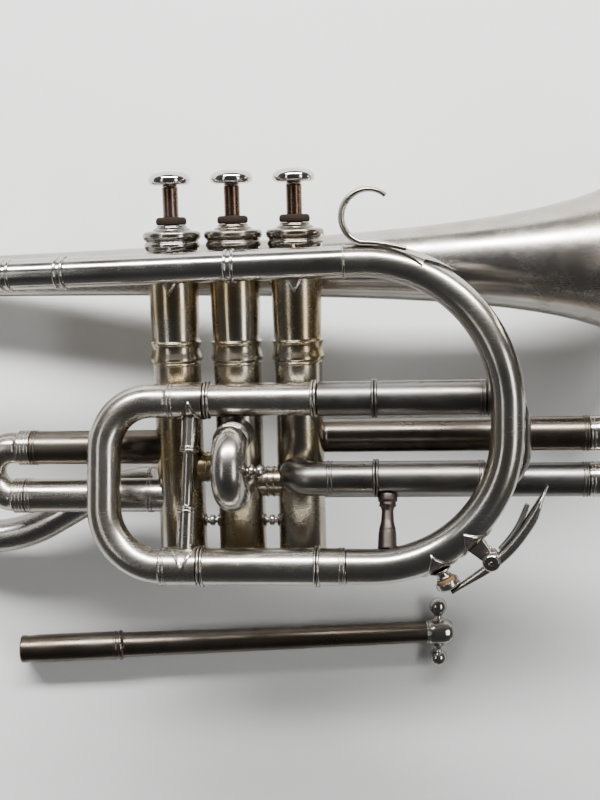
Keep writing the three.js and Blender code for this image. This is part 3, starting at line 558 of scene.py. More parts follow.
# Brown colours that the plates take both for tarnish and for painted shade in recesses and next to other pieces.
BROWN = (0.042, 0.03, 0.021)
STEM_TARNISH_AND_SHADE = (0.04, 0.026, 0.02)
DARK_TARNISH_AND_SHADE = (0.02, 0.015, 0.012)
MATERIALS = {
    "silver_plate": plate("silver_plate", SILVER, (0.42, 0.385, 0.33), BROWN, 0.2, 0.21),
    "brassy_plate": plate("brassy_plate", (0.37, 0.34, 0.28), (0.35, 0.27, 0.15), BROWN, 0.3, 0.2),
    "bright_plate": plate("bright_plate", (0.60, 0.59, 0.57), (0.55, 0.53, 0.49), BROWN, 0.05, 0.07, 0.04),
    "stem_bronze": plate("stem_bronze", (0.17, 0.115, 0.095), (0.12, 0.075, 0.055), STEM_TARNISH_AND_SHADE, 0.3, 0.24),
    "dark_bronze": plate("dark_bronze", (0.06, 0.048, 0.043), (0.045, 0.035, 0.03), DARK_TARNISH_AND_SHADE, 0.3, 0.36),
    "spring_steel": plate("spring_steel", (0.32, 0.31, 0.295), (0.26, 0.235, 0.21), BROWN, 0.25, 0.26),
    "piston_nickel": plate("piston_nickel", (0.56, 0.545, 0.51), (0.50, 0.475, 0.43), BROWN, 0.08, 0.18),
    "felt": soft("felt", (0.006, 0.004, 0.003), (0.026, 0.016, 0.01), 0.25, 3.0),
    "cork": soft("cork", (0.07, 0.036, 0.018), (0.17, 0.095, 0.045), 0.12, 1.6),
}
POLISHED = plate("polished_silver_plate", (0.48, 0.46, 0.43), (0.44, 0.41, 0.37), BROWN, 0.10, 0.15, 0.04)
BRIGHT_SATIN = plate("bright_satin_plate", (0.42, 0.40, 0.37), (0.38, 0.355, 0.31), BROWN, 0.12, 0.21, 0.04)
GREY_SATIN = plate("grey_satin_plate", (0.18, 0.175, 0.17), (0.155, 0.145, 0.13), BROWN, 0.2, 0.28)
BROWN_SATIN = plate("brown_satin_plate", (0.15, 0.13, 0.11), (0.105, 0.086, 0.067), BROWN, 0.3, 0.27)
CAP_PLATE = plate("cap_plate", (0.27, 0.255, 0.23), (0.22, 0.195, 0.155), BROWN, 0.3, 0.19)


# ---- Valves ----
CASING_LINE = [
    (CASING_R, CASING_BOTTOM), (CASING_R, 76.6), (10.15, 76.9), (10.15, 77.5), (9.95, 77.8), (10.45, 78.1),
    (10.8, 78.9), (10.8, 79.7), (10.5, 80.8), (10.15, 82.1), (10.0, 83.4), (10.05, 84.4), (10.3, 85.2),
    (10.55, 85.7), (10.55, 86.2), (10.0, 86.5), (9.75, 87.2), (9.72, 88.5), (9.85, 92), (10.1, 97),
    (10.2, 102), (10.2, CASING_TOP),
]
CAP_LINE = [
    (STEM_R + 0.6, 134), (5.8, 134), (6.1, 133.7), (6.2, 133.1), (7.4, 132.5), (7.7, 131.9), (9.4, 131.6),
    (11.0, 131.4), (11.6, 131.0), (11.85, 130.2), (11.9, 129.3), (11.6, 128.4), (10.9, 127.9), (10.7, 127.4),
    (11.0, 127.0), (11.35, 126.5), (11.35, 125.3), (11.0, 124.6), (10.7, 124.2), (10.7, CASING_TOP + 0.3),
    (8.6, CASING_TOP + 0.3), (8.6, 128), (STEM_R + 0.6, 131.2),
]
FOOT_LINE = [
    (11.0, CASING_BOTTOM - 0.3, 0.0), (11.15, -4.0, 0.08), (11.15, -5.6, 0.08), (10.8, -6.0),
    (11.1, -6.4, 0.08), (11.1, -9.0, 0.08), (10.6, -9.6), (8.5, -11.2), (6.0, -12.5), (3.4, -13.0),
    (1.5, -13.1), (1.5, -11.9),
    (8.2, -10.0), (8.9, -9.0), (8.9, CASING_BOTTOM - 0.3),
]
TEETH = 72  # of the knurling round a bottom cap
COIL_TURNS = 7
COIL_STEPS = 28  # straight runs in one turn
COIL_R = 5.6
WIRE_R = 0.45


def plain(outline):
    """The same outline with a knurl depth on every point."""
    return [point if len(point) == 3 else (*point, 0.0) for point in outline]


for number, x in enumerate(VALVES, 1):
    axis = (x, 0, 0), (x, 0, 1)
    wall = [*CASING_LINE, (8.9, CASING_TOP), (8.9, CASING_BOTTOM)]
    guide = [(STEM_R + 1, GUIDE_Z), (8.95, GUIDE_Z), (8.95, GUIDE_Z + 0.6), (STEM_R + 1, GUIDE_Z + 0.6)]
    piece(f"casing_{number}", turned(wall, *axis, size=0.2), turned(guide, *axis))
    stem = [
        (0, STEM_TOP + 0.2), (3.1, STEM_TOP + 0.2), (3.25, 148.5), (3.2, 147.4), (3.2, 139.5), (3.2, 137.6),
        (STEM_R, 136.4), (STEM_R, BARREL_TOP), (8.4, BARREL_TOP), (8.4, 85.5), (7.4, 85.5),
        (7.4, BARREL_TOP - 2.5), (0, BARREL_TOP - 2.5),
    ]
    collar = [(7.4, 64.3), (8.4, 64.3), (8.4, GUIDE_Z - 0.9), (7.4, GUIDE_Z - 0.9)]
    piece(f"stem_{number}", turned(stem, *axis), turned(collar, *axis))
    coil = []
    low, high = GUIDE_Z + 2.9, BARREL_TOP - 3.3
    steps = COIL_TURNS * COIL_STEPS
    for k in range(steps + 1):
        angle = 2 * math.pi * k / COIL_STEPS
        coil.append((x + COIL_R * math.cos(angle), COIL_R * math.sin(angle), low + (high - low) * k / steps))
    path = Path(coil, (0, 0, 1))
    wire = [(0, 0), (WIRE_R, 0.05), (WIRE_R, path.length - 0.05), (0, path.length)]
    spring = piece(f"valve_spring_{number}", skin(path, fine(wire, 1.3, closed=False), 8))
    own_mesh(spring)
    piece(f"top_cap_{number}", turned(CAP_LINE, *axis, size=0.25), material=CAP_PLATE)
    piece(f"bottom_cap_{number}", turned(plain(FOOT_LINE), *axis, segments=TEETH * 4, teeth=TEETH, size=0.12))
    pad = [
        (STEM_R + 0.6, 134.1), (5.7, 134.1), (6.2, 134.7), (6.3, 135.8), (6.0, 136.8), (5.2, 137.3),
        (STEM_R + 0.6, 137.3),
    ]
    piece(f"cap_felt_{number}", turned(pad, *axis, size=0.15))
    knob = [
        (0, 149.5), (3.1, 149.5), (3.4, 149.9), (6.2, 150.0), (7.6, 150.3), (8.35, 150.9), (8.65, 151.7),
        (8.6, 152.7), (8.3, 153.5), (7.6, 154.3), (6.5, 154.95), (5.0, 155.4), (3.2, 155.7), (1.6, 155.8),
        (0, 155.82),
    ]
    piece(f"button_{number}", turned(knob, *axis, size=0.35))

BALL_BRACE_Z = 10
for left, names in ((0, "12"), (1, "23")):
    middle = (VALVES[left] + VALVES[left + 1]) / 2
    z = TRANSFER_Z[left]
    tube = straight((middle - 7, 0, z), (middle + 7, 0, z), 6.2, 5.2, [(5.7, SINGLE), (8.3, SINGLE)])
    meet_casing(tube, left, (1, 0))
    meet_casing(tube, left + 1, (-1, 0))
    piece(f"transfer_tube_{names}", tube)
    half = VALVE_PITCH / 2 - CASING_R
    post = [
        (0, -half), (2.6, -half), (2.65, -half + 0.4), (1.3, -half + 0.7), (1.3, -1.3), (2.0, -1.0),
        (2.35, -0.5), (2.35, 0.5), (2.0, 1.0), (1.3, 1.3), (1.3, half - 0.7), (2.65, half - 0.4),
        (2.6, half), (0, half),
    ]
    along = (middle, 0, BALL_BRACE_Z), (middle + 1, 0, BALL_BRACE_Z)
    piece(f"ball_brace_{names}", turned(post, *along, size=0.12))

# ---- Bell ----
BELL_WALL = 0.6


def bell_radius(x):
    """The bell's outer radius, which grows ever faster towards the mouth."""
    return 300 / (196 - x) ** 0.615


def bell():
    """The flare, with a wall of even thickness and a rolled rim."""
    path = Path([(BELL_TAIL, BELL_Y, BELL_TOP_Z), (BELL_MOUTH, BELL_Y, 115.9)])
    length = path.length
    steps = 90
    outer, inner = [], []
    for i in range(steps + 1):
        x = BELL_TAIL + (length - 1) * (1 - (1 - i / steps) ** 1.6)
        slope = (bell_radius(x + 0.1) - bell_radius(x - 0.1)) / 0.2
        tilt = math.hypot(1, slope)
        outer.append((bell_radius(x), x - BELL_TAIL))
        inner.append((bell_radius(x) - BELL_WALL / tilt, x - BELL_TAIL + BELL_WALL * slope / tilt))
    rim = []
    for k in range(13):
        angle = -math.pi * 0.95 + math.pi * 1.5 * k / 12
        around = angle + math.pi / 2
        rim.append((59.4 - 1.0 * math.cos(around), length - 1.05 - 1.0 * math.sin(around)))
    profile = [*outer, *rim, *reversed(inner)]
    return skin(path, profile, 144)


def bell_bow():
    """The large bow at the bell's tail and the branch that leads from it to the first casing."""
    centre = Vector((-119, BELL_Y, BELL_TOP_Z - BELL_BOW_R))
    line = []
    for k in range(61):
        angle = (math.pi + 0.55) * k / 60
        line.append(centre + Vector((-BELL_BOW_R * math.sin(angle), 0, BELL_BOW_R * math.cos(angle))))
    tail = spline([line[-1], (-66, 23, 17.4), (-50, 21.5, 22.2), (-37, 17.5, 23.6), (-28.5, 9, 23.6)])
    path = Path(line + tail[1:])
    stops = [(bell_radius(BELL_TAIL), 0), (7.1, path.length - 60), (7.1, path.length)]
    away = Vector((-37, 17.5)) - Vector((-28.5, 9))
    return meet_casing(bent(path, stops, 5.6, [(1.6, FINE), (path.length - 16, FINE)]), 0, away)


piece("bell", bell())
piece("bell_bow", bell_bow())

# ---- Mouthpipe and front bow ----
LEAD_JOINT_X = -64
RECEIVER_X = -150
pipe_end = lead(46.2)
length = (pipe_end - lead(LEAD_JOINT_X)).length
stops = [(6.0, 0), (6.0, 65.5), (6.1, 67), (6.12, length)]
piece("leadpipe", straight(lead(LEAD_JOINT_X), pipe_end, stops, 5.4, [(66.2, PAIR)]), material=POLISHED)
receiver_end = lead(LEAD_JOINT_X - 0.3)
length = (lead(RECEIVER_X) - receiver_end).length
stops = [(6.9, 0), (6.9, 2.4), (6.6, 3), (6.35, length - 26.6), (6.1, length - 25.4), (6.1, length)]
receiver = beaded(stops, [(length - 24.3, PAIR), (length - 1.8, PAIR)])
receiver = [*hollow(receiver, 5.2)[:-2], (5.2, length), (4.6, 35), (5.2, 0)]
receiver_line = Path([lead(RECEIVER_X), receiver_end])
piece("mouthpipe_receiver", skin(receiver_line, fine(receiver, STRAIGHT_STEP)), material=POLISHED)

RIGHT = 108.5
TOP_ARC = 56.0
LOW_ARC = 53.0
LOW_CENTRE = Vector((RIGHT - LOW_ARC, BOTTOM_Y, BOTTOM_Z + LOW_ARC))
FRONT_BOW_X = 45.6  # where its low end meets the tuning slide's lower sleeve
front_line = Path(
    rounded(
        [(45.3, 0, LEAD_TO.z), (RIGHT, 0, LEAD_TO.z), (RIGHT, 0, BOTTOM_Z), (FRONT_BOW_X, 0, BOTTOM_Z)],
        [TOP_ARC, LOW_ARC],
    )
).shifted(lambda p: LEAD_TO.y + (BOTTOM_Y - LEAD_TO.y) * smoothstep(LEAD_TO.z - p.z, 0, 42))

# The water key sits on the lower arc. These are angles and radii round that arc's middle.
PIVOT_ANGLE = -0.82
NIPPLE_ANGLE = -1.11
SEAT_R = 64.0  # end of the nipple
PIVOT_R = 67.6


def low_arc(angle, radius, y=0.0):
    """A place by angle and radius round the middle of the front bow's lower arc."""
    return LOW_CENTRE + Vector((radius * math.cos(angle), y, radius * math.sin(angle)))


def on_low_arc(angle):
    """The distance along the front bow of a place on its lower arc."""
    return front_line.length - (LOW_CENTRE.x - FRONT_BOW_X) - LOW_ARC * (angle + math.pi / 2)


nipple = [
    (1.3, 60.2), (4.6, 60.2), (4.6, 60.8), (3.3, 61.2), (2.7, 61.8), (2.6, 63.0), (3.1, 63.3),
    (3.2, SEAT_R - 0.2), (3.0, SEAT_R), (1.3, SEAT_R),
]
origin = low_arc(NIPPLE_ANGLE, 0)
# The plates face outwards from the middle of the lower arc, which is this angle round the tube.
OUTWARDS = math.pi / 2
piece(
    "front_bow",
    bent(front_line, [(6.1, 0), (6.6, 90), (7.1, front_line.length)], 5.5, [(1.4, SINGLE)]),
    turned(nipple, origin, low_arc(NIPPLE_ANGLE, 60), size=0.12),
    diamond(front_line, on_low_arc(NIPPLE_ANGLE), OUTWARDS, 7.4, 1.75, 7.05),
    material=BRIGHT_SATIN,
)

# ---- Main tuning slide ----
LEG_END = 30.0
TUNING_BOW_X = -52.4
piece(
    "tuning_upper_sleeve",
    straight((-11.5, SLIDE_Y, UPPER_Z), (34.3, SLIDE_Y, UPPER_Z), 6.75, 6.2, [(1.45, TALL), (44.4, TALL)]),
)
piece(
    "tuning_lower_sleeve",
    straight(
        (-13.9, BOTTOM_Y, BOTTOM_Z),
        (45.3, BOTTOM_Y, BOTTOM_Z),
        7.35,
        6.8,
        [(1.45, TALL), (47.8, TALL), (57.7, FINE)],
    ),
)
tuning_line = Path(
    rounded(
        [
            (LEG_END, 0, UPPER_Z),
            (TUNING_BOW_X, 0, UPPER_Z),
            (TUNING_BOW_X, 0, BOTTOM_Z),
            (LEG_END, 0, BOTTOM_Z),
        ],
        [19, 24],
    )
).shifted(lambda p: SLIDE_Y + (BOTTOM_Y - SLIDE_Y) * (UPPER_Z - p.z) / (UPPER_Z - BOTTOM_Z))
a, b = (LEG_END - x for x in (-11.8, -26))
c, d = (tuning_line.length - (LEG_END - x) for x in (-29, -14.2))
stops = [
    (5.9, 0), (5.9, a - 0.01), (7.2, a), (7.2, b), (6.9, b + 0.4), (6.9, c - 0.4), (7.4, c), (7.4, d),
    (6.5, d + 0.01), (6.5, tuning_line.length),
]
# Round this line, the side that faces the other leg.
INNER = math.pi / 2
piece(
    "tuning_crook",
    bent(tuning_line, stops, 5.3, [(b - 1.2, FINE), (c + 1.2, FINE)]),
    diamond(tuning_line, LEG_END + 16.8, INNER, 6.4, 1.66, 7.2),
    diamond(tuning_line, tuning_line.length - LEG_END - 19.4, INNER, 6.4, 1.66, 7.4),
)
top, low = Vector((-16.8, SLIDE_Y, UPPER_Z)), Vector((-19.4, BOTTOM_Y, BOTTOM_Z))
span = (low - top).length
rod = [
    (0, 6.8), (3.4, 6.8), (3.4, 18.4), (3.9, 18.7), (3.9, 19.3), (3.55, 19.6), (3.9, 19.9), (3.9, 20.6),
    (3.2, 21.0), (2.4, 21.3), (2.35, span - 24.4), (3.2, span - 24.1), (3.9, span - 23.8), (3.9, span - 23.1),
    (3.55, span - 22.8), (3.9, span - 22.5), (3.9, span - 21.9), (3.6, span - 21.5), (3.7, span - 7.2),
    (0, span - 7.2),
]
piece("tuning_brace", turned(rod, top, low, size=0.15), material=BRIGHT_SATIN)

# ---- Front slide ----
FRONT_END = 101.2
piece(
    "front_slide_upper_sleeve",
    straight((34.6, SLIDE_Y, UPPER_Z), (FRONT_END, SLIDE_Y, UPPER_Z), 6.9, 6.5, [(22.5, TALL), (65.2, FINE)]),
    material=GREY_SATIN,
)
route = [(24.2, -4, LOWER_Z), (24.2, SLIDE_Y, LOWER_Z), (100.5, SLIDE_Y, LOWER_Z)]
elbow = Path(rounded(route, [9]), (0, 0, 1))
stops = [(7.0, 0), (7.0, elbow.near(37.8)), (6.9, elbow.near(39.5)), (6.9, elbow.length)]
tube = bent(
    elbow,
    stops,
    6.3,
    [(elbow.near(38.8), FINE), (elbow.near(57.2), TALL), (elbow.length - 1.3, FINE)],
)
piece("front_slide_lower_sleeve", meet_casing(tube, 2, (0, -1)), material=GREY_SATIN)


def crook(node, y, heights, leg_end, tips, bow, corner, along, swell=0.0, material=None):
    """A U-shaped inner slide. tips are where its ferrules start and end on the upper and lower leg."""
    upper, lower = heights
    tip = bow + along * corner
    points = [(leg_end, y, upper), (tip, y, upper), (tip, y, lower), (leg_end, y, lower)]
    path = Path(rounded(points, [corner - 0.01, corner - 0.01]))
    length = path.length
    stops = [(6.2, 0)]
    rings = []
    for k, (start, end) in enumerate(tips):
        p, q = abs(start - leg_end), abs(end - leg_end)
        widest = (SLEEVE_R + swell, (p + q) / 2)
        steps = [(6.2, p - 0.01), (SLEEVE_R, p), widest, (SLEEVE_R, q), (6.7, q + 0.5)]
        marks = [(p + 1.2, FINE), (q - 1.0, FINE)] if q - p > 3 else [(p + 1.2, SINGLE)]
        if k:
            steps = [(r, length - d) for r, d in reversed(steps)]
            marks = [(length - d, kind) for d, kind in reversed(marks)]
        stops += steps
        rings += marks
    stops.append((6.2, length))
    piece(node, bent(path, stops, 5.5, rings), material=material)


start = FRONT_END + 0.3
tips = [(start, start + 2.4)] * 2
crook("front_crook", SLIDE_Y, (UPPER_Z, LOWER_Z), 62, tips, 101.4, 10.6, 1, material=GREY_SATIN)
top, low = Vector((62, SLIDE_Y, LOWER_Z)), Vector((61.5, BOTTOM_Y, BOTTOM_Z))
end = (low - top).length - 6.9
post = [
    (0, 6.7), (3.9, 6.7), (3.9, 9.4), (3.3, 9.8), (3.3, 10.8), (3.6, 11.2), (2.7, 12.0), (2.35, 13.4),
    (2.6, 17.5), (3.1, 19.6), (3.35, 20.4), (3.35, 21.4), (3.55, 21.8), (3.75, end - 1.5), (3.9, end),
    (0, end),
]
piece("lower_brace", turned(post, top, low, size=0.15))

# ---- Third, first and second slides ----
for i, z in enumerate(THIRD_Z):
    path = Path(rounded([(27, 1.6, z), (33.4, THIRD_Y, z), (144.5, THIRD_Y, z)], [9]), (0, 0, 1))
    tube = bent(path, [(SLEEVE_R, 0), (SLEEVE_R, path.length)], 6.5, [(path.length - 1.2, FINE)])
    node = ("third_slide_upper_sleeve", "third_slide_lower_sleeve")[i]
    piece(node, meet_casing(tube, 2, (1, 1)), material=(BROWN_SATIN, GREY_SATIN)[i])
corner = (THIRD_Z[0] - THIRD_Z[1]) / 2
crook("third_crook", THIRD_Y, THIRD_Z, 70, [(144.8, 156)] * 2, 157, corner, 1, swell=0.35, material=POLISHED)

for i, (z, end) in enumerate(zip(FIRST_Z, FIRST_END)):
    span = VALVES[0] - 5 - end
    rings = [(span - 1.2, FINE)] if i == 0 else [(8.4, FINE), (span - 1.2, FINE)]
    stops = [(SLEEVE_R, 0), (SLEEVE_R, span)]
    tube = straight((VALVES[0] - 5, 0, z), (end, 0, z), stops, 6.5, rings)
    node = ("first_slide_upper_sleeve", "first_slide_lower_sleeve")[i]
    piece(node, meet_casing(tube, 0, (-1, 0)), material=BROWN_SATIN if i == 0 else None)
tips = [(end - 0.3, end - 5.5) for end in FIRST_END]
crook("first_crook", 0, FIRST_Z, -48, tips, -98, (FIRST_Z[0] - FIRST_Z[1]) / 2, -1)

for i, z in enumerate(SECOND_Z):
    tube = straight((0, -5, z), (0, -24, z), 6.9, 6.4, [(17.6, FINE)])
    node = ("second_slide_upper_sleeve", "second_slide_lower_sleeve")[i]
    piece(node, meet_casing(tube, 1, (0, -1)), material=BROWN_SATIN)
upper, lower = SECOND_Z
corner = (upper - lower) / 2
tip = -24.3 - corner
route = [(0, -11.2, upper), (0, tip, upper), (0, tip, lower), (0, -11.2, lower)]
path = Path(rounded(route, [corner - 0.01] * 2), (1, 0, 0))
leg = 13.1
stops = [(6.1, 0), (6.1, leg - 0.01), (6.9, leg), (6.9, path.length - leg), (6.1, path.length - leg + 0.01)]
stops.append((6.1, path.length))
middle = (0, tip + 2, (upper + lower) / 2)
knob = [
    (0, 5), (3.4, 6.0), (3.4, 6.7), (1.7, 7.4), (1.6, 7.9), (2.6, 8.5), (2.75, 9.1), (2.6, 9.7), (1.5, 10.3),
    (1.5, 10.7), (2.2, 11.0), (2.75, 11.9), (2.75, 12.7), (2.2, 13.6), (1.1, 14.2), (0, 14.4),
]
piece(
    "second_crook",
    bent(path, stops, 5.5, [(leg + 1.2, FINE), (path.length - leg - 1.2, FINE)]),
    turned(knob, middle, Vector(middle) + Vector((1, 0, 0)), size=0.12),
    material=BRIGHT_SATIN,
)

# ---- Braces between the mouthpipe and the casings ----
for valve in (0, 2):
    x = VALVES[valve]
    pipe_at = lead(x)
    column = Path([(x, 0, 90), (x, 0, 130)], (0, 1, 0))
    far = -pipe_at.y - 5.8
    post = [
        (0, 10), (2.9, 10), (2.9, 10.8), (1.9, 11.3), (2.0, far - 2.6), (2.7, far - 2.1), (2.7, far - 1.3),
        (2.0, far - 1), (2.4, far), (0, far),
    ]
    piece(
        f"leadpipe_brace_{valve + 1}",
        diamond(column, 24, math.pi, 8.6, 0.44, 10.15),
        turned(post, (x, 0, pipe_at.z), (x, -1, pipe_at.z), size=0.12),
    )

# ---- Finger hook: an open C that runs down into a strap on the front bow ----
HOOK = Vector((56.2, -27.6, 135.6))
STRAP_FROM, STRAP_WINGS, STRAP_TIP = 6.0, 30.8, 41.5
strap_centre = Vector((RIGHT - TOP_ARC, -27.6, LEAD_TO.z - TOP_ARC))
hook_line = []
for k in range(31):
    angle = 0.85 + (4.2 - 0.85) * k / 30
    hook_line.append(HOOK + Vector((10.2 * math.cos(angle), 0, 10.2 * math.sin(angle))))
for k in range(9):
    angle = 1.56 + (1.28 - 1.56) * k / 8
    hook_line.append(strap_centre + Vector((63.2 * math.cos(angle), 0, 63.2 * math.sin(angle))))
hook_path = Path([hook_line[0], *spline(hook_line, 3)])


def strap_half_angle(distance):
    """The strap widens to two side points and then narrows to its tip."""
    if distance < STRAP_WINGS:
        share = (distance - STRAP_FROM) / (STRAP_WINGS - STRAP_FROM)
        return 0.34 + 0.72 * share**1.6
    share = (distance - STRAP_WINGS) / (STRAP_TIP - STRAP_WINGS)
    return 0.03 + 0.62 * (1 - share) ** 0.8


def strap():
    """The sheet that lies on the outside of the front bow."""
    marks = [STRAP_FROM + (STRAP_WINGS - 0.01 - STRAP_FROM) * k / 20 for k in range(21)]
    marks += [STRAP_WINGS + (STRAP_TIP - STRAP_WINGS) * k / 16 for k in range(17)]
    columns = len(marks)
    layers = []
    for radius in (7.35, 6.2):
        grid = []
        for mark in marks:
            centre, side, other, _ = front_line.frame(mark)
            half = strap_half_angle(mark)
            row = []
            for j in range(columns):
                angle = OUTWARDS + half * (2 * j / (columns - 1) - 1)
                row.append(centre + side * radius * math.cos(angle) + other * radius * math.sin(angle))
            grid.append(row)
        layers.append(grid)
    return layers


piece(
    "finger_hook",
    ribbon(
        hook_path,
        lambda s: 2.4 + 3.6 * min(1, 8 * s),
        lambda s: 1.9 + 0.8 * smoothstep(s, 0.0, 0.35) - 1.5 * smoothstep(s, 0.72, 1.0),
        power=0.8,
    ),
    strap(),
)

# ---- Water key ----
pivot = low_arc(PIVOT_ANGLE, PIVOT_R)
ear = []
for side in (-1, 1):
    y0, y1 = side * 2.9, side * 4.3
    ring = [(1.4, 0), (3.5, 0), (3.5, 1.4), (1.4, 1.4)]
    eye = turned(ring, pivot + Vector((0, y0, 0)), pivot + Vector((0, y1, 0)))
    arm = Path([low_arc(PIVOT_ANGLE, 59.2, (y0 + y1) / 2), low_arc(PIVOT_ANGLE, 66.4, (y0 + y1) / 2)])
    ear += [eye, ribbon(arm, lambda s: 1.4, lambda s: 7.4 - 2.6 * s, power=0.4)]
piece(
    "water_key_saddle",
    diamond(front_line, on_low_arc(PIVOT_ANGLE), OUTWARDS, 7.8, 1.75, 6.95),
    *ear,
)
pin = [
    (0, -8), (0.6, -8.0), (0.6, -7.6), (1.0, -7.6), (1.0, -8.1), (2.8, -8.0), (3.45, -7.4), (3.45, -5.2),
    (1.1, -5.2), (1.1, 4.9), (0, 4.9),
]
piece("water_key_pin", turned(pin, pivot, pivot + Vector((0, 1, 0)), size=0.12), material=POLISHED)
lever_points = [
    (86.6, -11), (92.6, -7), (101.4, -1), (110, 7.2), (117, 17.2), (121, 25.6), (123.6, 31.5),
]
lever_path = Path(spline([(x, BOTTOM_Y, z) for x, z in lever_points]))
cup = [(0, 2.3), (4.1, 2.3), (4.1, 0), (4.75, 0), (4.85, 0.6), (4.85, 2.2), (4.3, 2.9), (3, 3.6), (0, 3.9)]
cup_base = low_arc(NIPPLE_ANGLE, SEAT_R + 1.4)
hub = [(1.3, -2.6), (3.3, -2.6), (3.3, 2.6), (1.3, 2.6)]
piece(
    "water_key_lever",
    ribbon(
        lever_path,
        lambda s: 4.6 + 1.2 * smoothstep(s, 0.55, 0.85) - 4.8 * smoothstep(s, 0.84, 1.0),
        lambda s: 1.6 + 3.0 * smoothstep(s, -0.1, 0.5) - 3.9 * smoothstep(s, 0.72, 1.02),
        power=0.85,
    ),
    turned(hub, pivot, pivot + Vector((0, 1, 0)), size=0.15),
    turned(cup, cup_base, low_arc(NIPPLE_ANGLE, 80), size=0.15),
)
disc = [(0, SEAT_R + 0.3), (3.5, SEAT_R + 0.3), (3.75, SEAT_R + 0.6), (3.75, SEAT_R + 3.4), (0, SEAT_R + 3.4)]
piece("water_key_cork", turned(disc, origin, low_arc(NIPPLE_ANGLE, 60), size=0.2))
spring_points = [(105.4, 6.2), (109.4, 10.9), (112.6, 16), (116, 24)]
spring_path = Path(spline([(x, BOTTOM_Y, z) for x, z in spring_points]))
leaf = ribbon(spring_path, lambda s: 3.2, lambda s: 1.9 + 0.2 * math.sin(math.pi * s), power=0.8)
piece("water_key_spring", leaf)

# ---- The loose shank ----
low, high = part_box("shank_tube")
left_end = Vector((low.x, high.y - (7 - 47 * -SHANK_TURN) * MM, (low.z + high.z) / 2))
LAID = Matrix.Translation(left_end) @ Matrix.Rotation(SHANK_TURN, 4, "Z") @ Matrix.Scale(MM, 4)
x_axis = (0, 0, 0), (1, 0, 0)
tube = [
    (5.9, 0), (6.35, 0.5), (6.45, 1.4), (6.2, 4), (6.5, 9), (6.5, 43.2), (6.7, 43.5), (6.7, 44.4),
    (6.5, 44.7), (6.5, 45.6), (6.95, 45.9), (7.0, 46.6), (6.75, 47.2), (6.0, 47.7), (5.85, 48.6),
    (4.95, SHANK_LENGTH - 13), (4.9, SHANK_LENGTH - 2.3), (3.9, SHANK_LENGTH - 2.3), (4.9, 50), (5.3, 0),
]
piece("shank_tube", turned(fine(tube, 8), *x_axis, size=0.15), place=LAID, material=BROWN_SATIN)
x = SHANK_LENGTH - 12
head = [
    (5.2, x), (5.7, x), (5.9, x + 0.5), (5.6, x + 1.2), (6.1, x + 1.8), (6.25, x + 3.5), (6.25, x + 8.6),
    (5.9, x + 10.6),
    (5.0, x + 12.2), (4.2, x + 12.9), (3.0, x + 13), (3.0, x + 10), (5.2, x + 10),
]
balls = []
for side in (-1, 1):
    centre = Vector((SHANK_LENGTH - 6, 0, 0))
    arm = [(0, 5.2), (3.1, 5.4), (3.1, 6.4), (2.2, 7.0), (1.8, 8.2), (2.3, 8.7), (2.3, 9.1)]
    for k in range(1, 10):
        angle = math.pi * (0.2 + 0.8 * k / 9)
        arm.append((max(0, 4.3 * math.sin(angle)), 12.7 - 4.3 * math.cos(angle)))
    arm[-1] = (0, arm[-1][1])
    balls.append(turned(arm, centre, centre + Vector((0, side, 0)), normal=(1, 0, 0), size=0.15))
piece("shank_collar", turned(head, *x_axis, size=0.15), *balls, place=LAID, material=POLISHED)

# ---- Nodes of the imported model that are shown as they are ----
for name, node in frame["nodes"].items():
    if not node.hide_render:
        node.data.materials.clear()
        node.data.materials.append(MATERIALS[SLOT_OF[name]])


# ---- Table, lights and camera ----
def table_top():
    """The plain pale table."""
    bpy.ops.mesh.primitive_plane_add(size=1.6, location=(0, 0, 0))
    made = bpy.context.object
    made.name = "table_top"
    s = Shader("table_white", metallic=0.0)
    grey = s.mix(s.noise(0.01, 3, 0.5), (0.72, 0.72, 0.71), (0.76, 0.76, 0.755))
    s.feed(s.surface.inputs["Base Color"], grey)
    s.surface.inputs["Roughness"].default_value = 0.7
    made.data.materials.append(s.material)


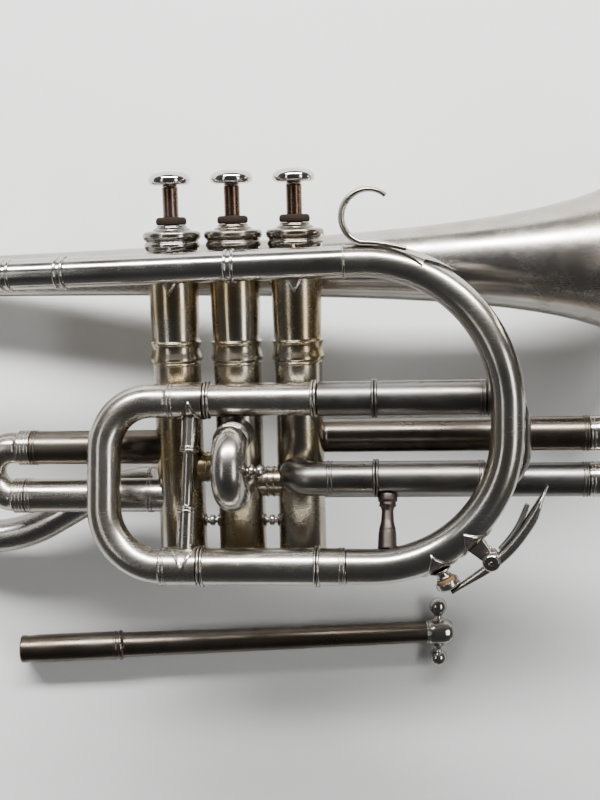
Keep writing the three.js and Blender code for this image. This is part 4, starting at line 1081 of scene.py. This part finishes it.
def lamp(name, place, towards, width, height, power):
    """A rectangular lamp, in metres and watts."""
    data = bpy.data.lights.new(name, "AREA")
    data.shape = "RECTANGLE"
    data.size, data.size_y, data.energy = width, height, power
    made = bpy.data.objects.new(name, data)
    made.location = place
    made.rotation_euler = (Vector(towards) - Vector(place)).to_track_quat("-Z", "Y").to_euler()
    bpy.context.scene.collection.objects.link(made)


def room():
    """A dim room: darker overhead than towards the horizon."""
    world = bpy.data.worlds.new("room")
    bpy.context.scene.world = world
    world.use_nodes = True
    tree = world.node_tree
    where = tree.nodes.new("ShaderNodeTexCoord")
    split = tree.nodes.new("ShaderNodeSeparateXYZ")
    ramp = tree.nodes.new("ShaderNodeValToRGB")
    tree.links.new(where.outputs["Generated"], split.inputs[0])
    tree.links.new(split.outputs["Z"], ramp.inputs[0])
    tree.links.new(ramp.outputs[0], tree.nodes["Background"].inputs["Color"])
    ramp.color_ramp.elements[0].position = 0.05
    ramp.color_ramp.elements[0].color = (0.15, 0.15, 0.148, 1)
    ramp.color_ramp.elements[1].position = 0.6
    ramp.color_ramp.elements[1].color = (0.06, 0.06, 0.062, 1)
    tree.nodes["Background"].inputs["Strength"].default_value = 1.0


table_top()
room()
lamp("window", (0.0, 1.12, 0.83), (0, 0, 0.03), 1.9, 0.2, 92)
lamp("side_left", (-1.0, 0.1, 1.15), (0, 0, 0.03), 0.9, 0.13, 2.0)
lamp("side_right", (0.86, 0.0, 1.18), (0, 0, 0.03), 0.9, 0.24, 6.5)

# The photograph's view: from in front of the valves, in millimetres and degrees.
VIEW_FROM = Vector((72.9, -490.2, 134.6))
YAW, ROLL, SPIN = (math.radians(angle) for angle in (5.5, 8.5, 1.5))
back = Vector((math.sin(YAW) * math.cos(ROLL), -math.cos(YAW) * math.cos(ROLL), math.sin(ROLL)))
level = Vector((math.cos(YAW), math.sin(YAW), 0))
upright = level.cross(-back)
right = level * math.cos(SPIN) - upright * math.sin(SPIN)
above = level * math.sin(SPIN) + upright * math.cos(SPIN)
data = bpy.data.cameras.new("camera")
data.lens, data.sensor_width = 54, 36
camera = bpy.data.objects.new("camera", data)
turn = PLACE.to_3x3() @ Matrix((right, above, back)).transposed()
camera.matrix_world = Matrix.Translation(PLACE @ VIEW_FROM) @ turn.normalized().to_4x4()
bpy.context.scene.collection.objects.link(camera)
bpy.context.scene.camera = camera
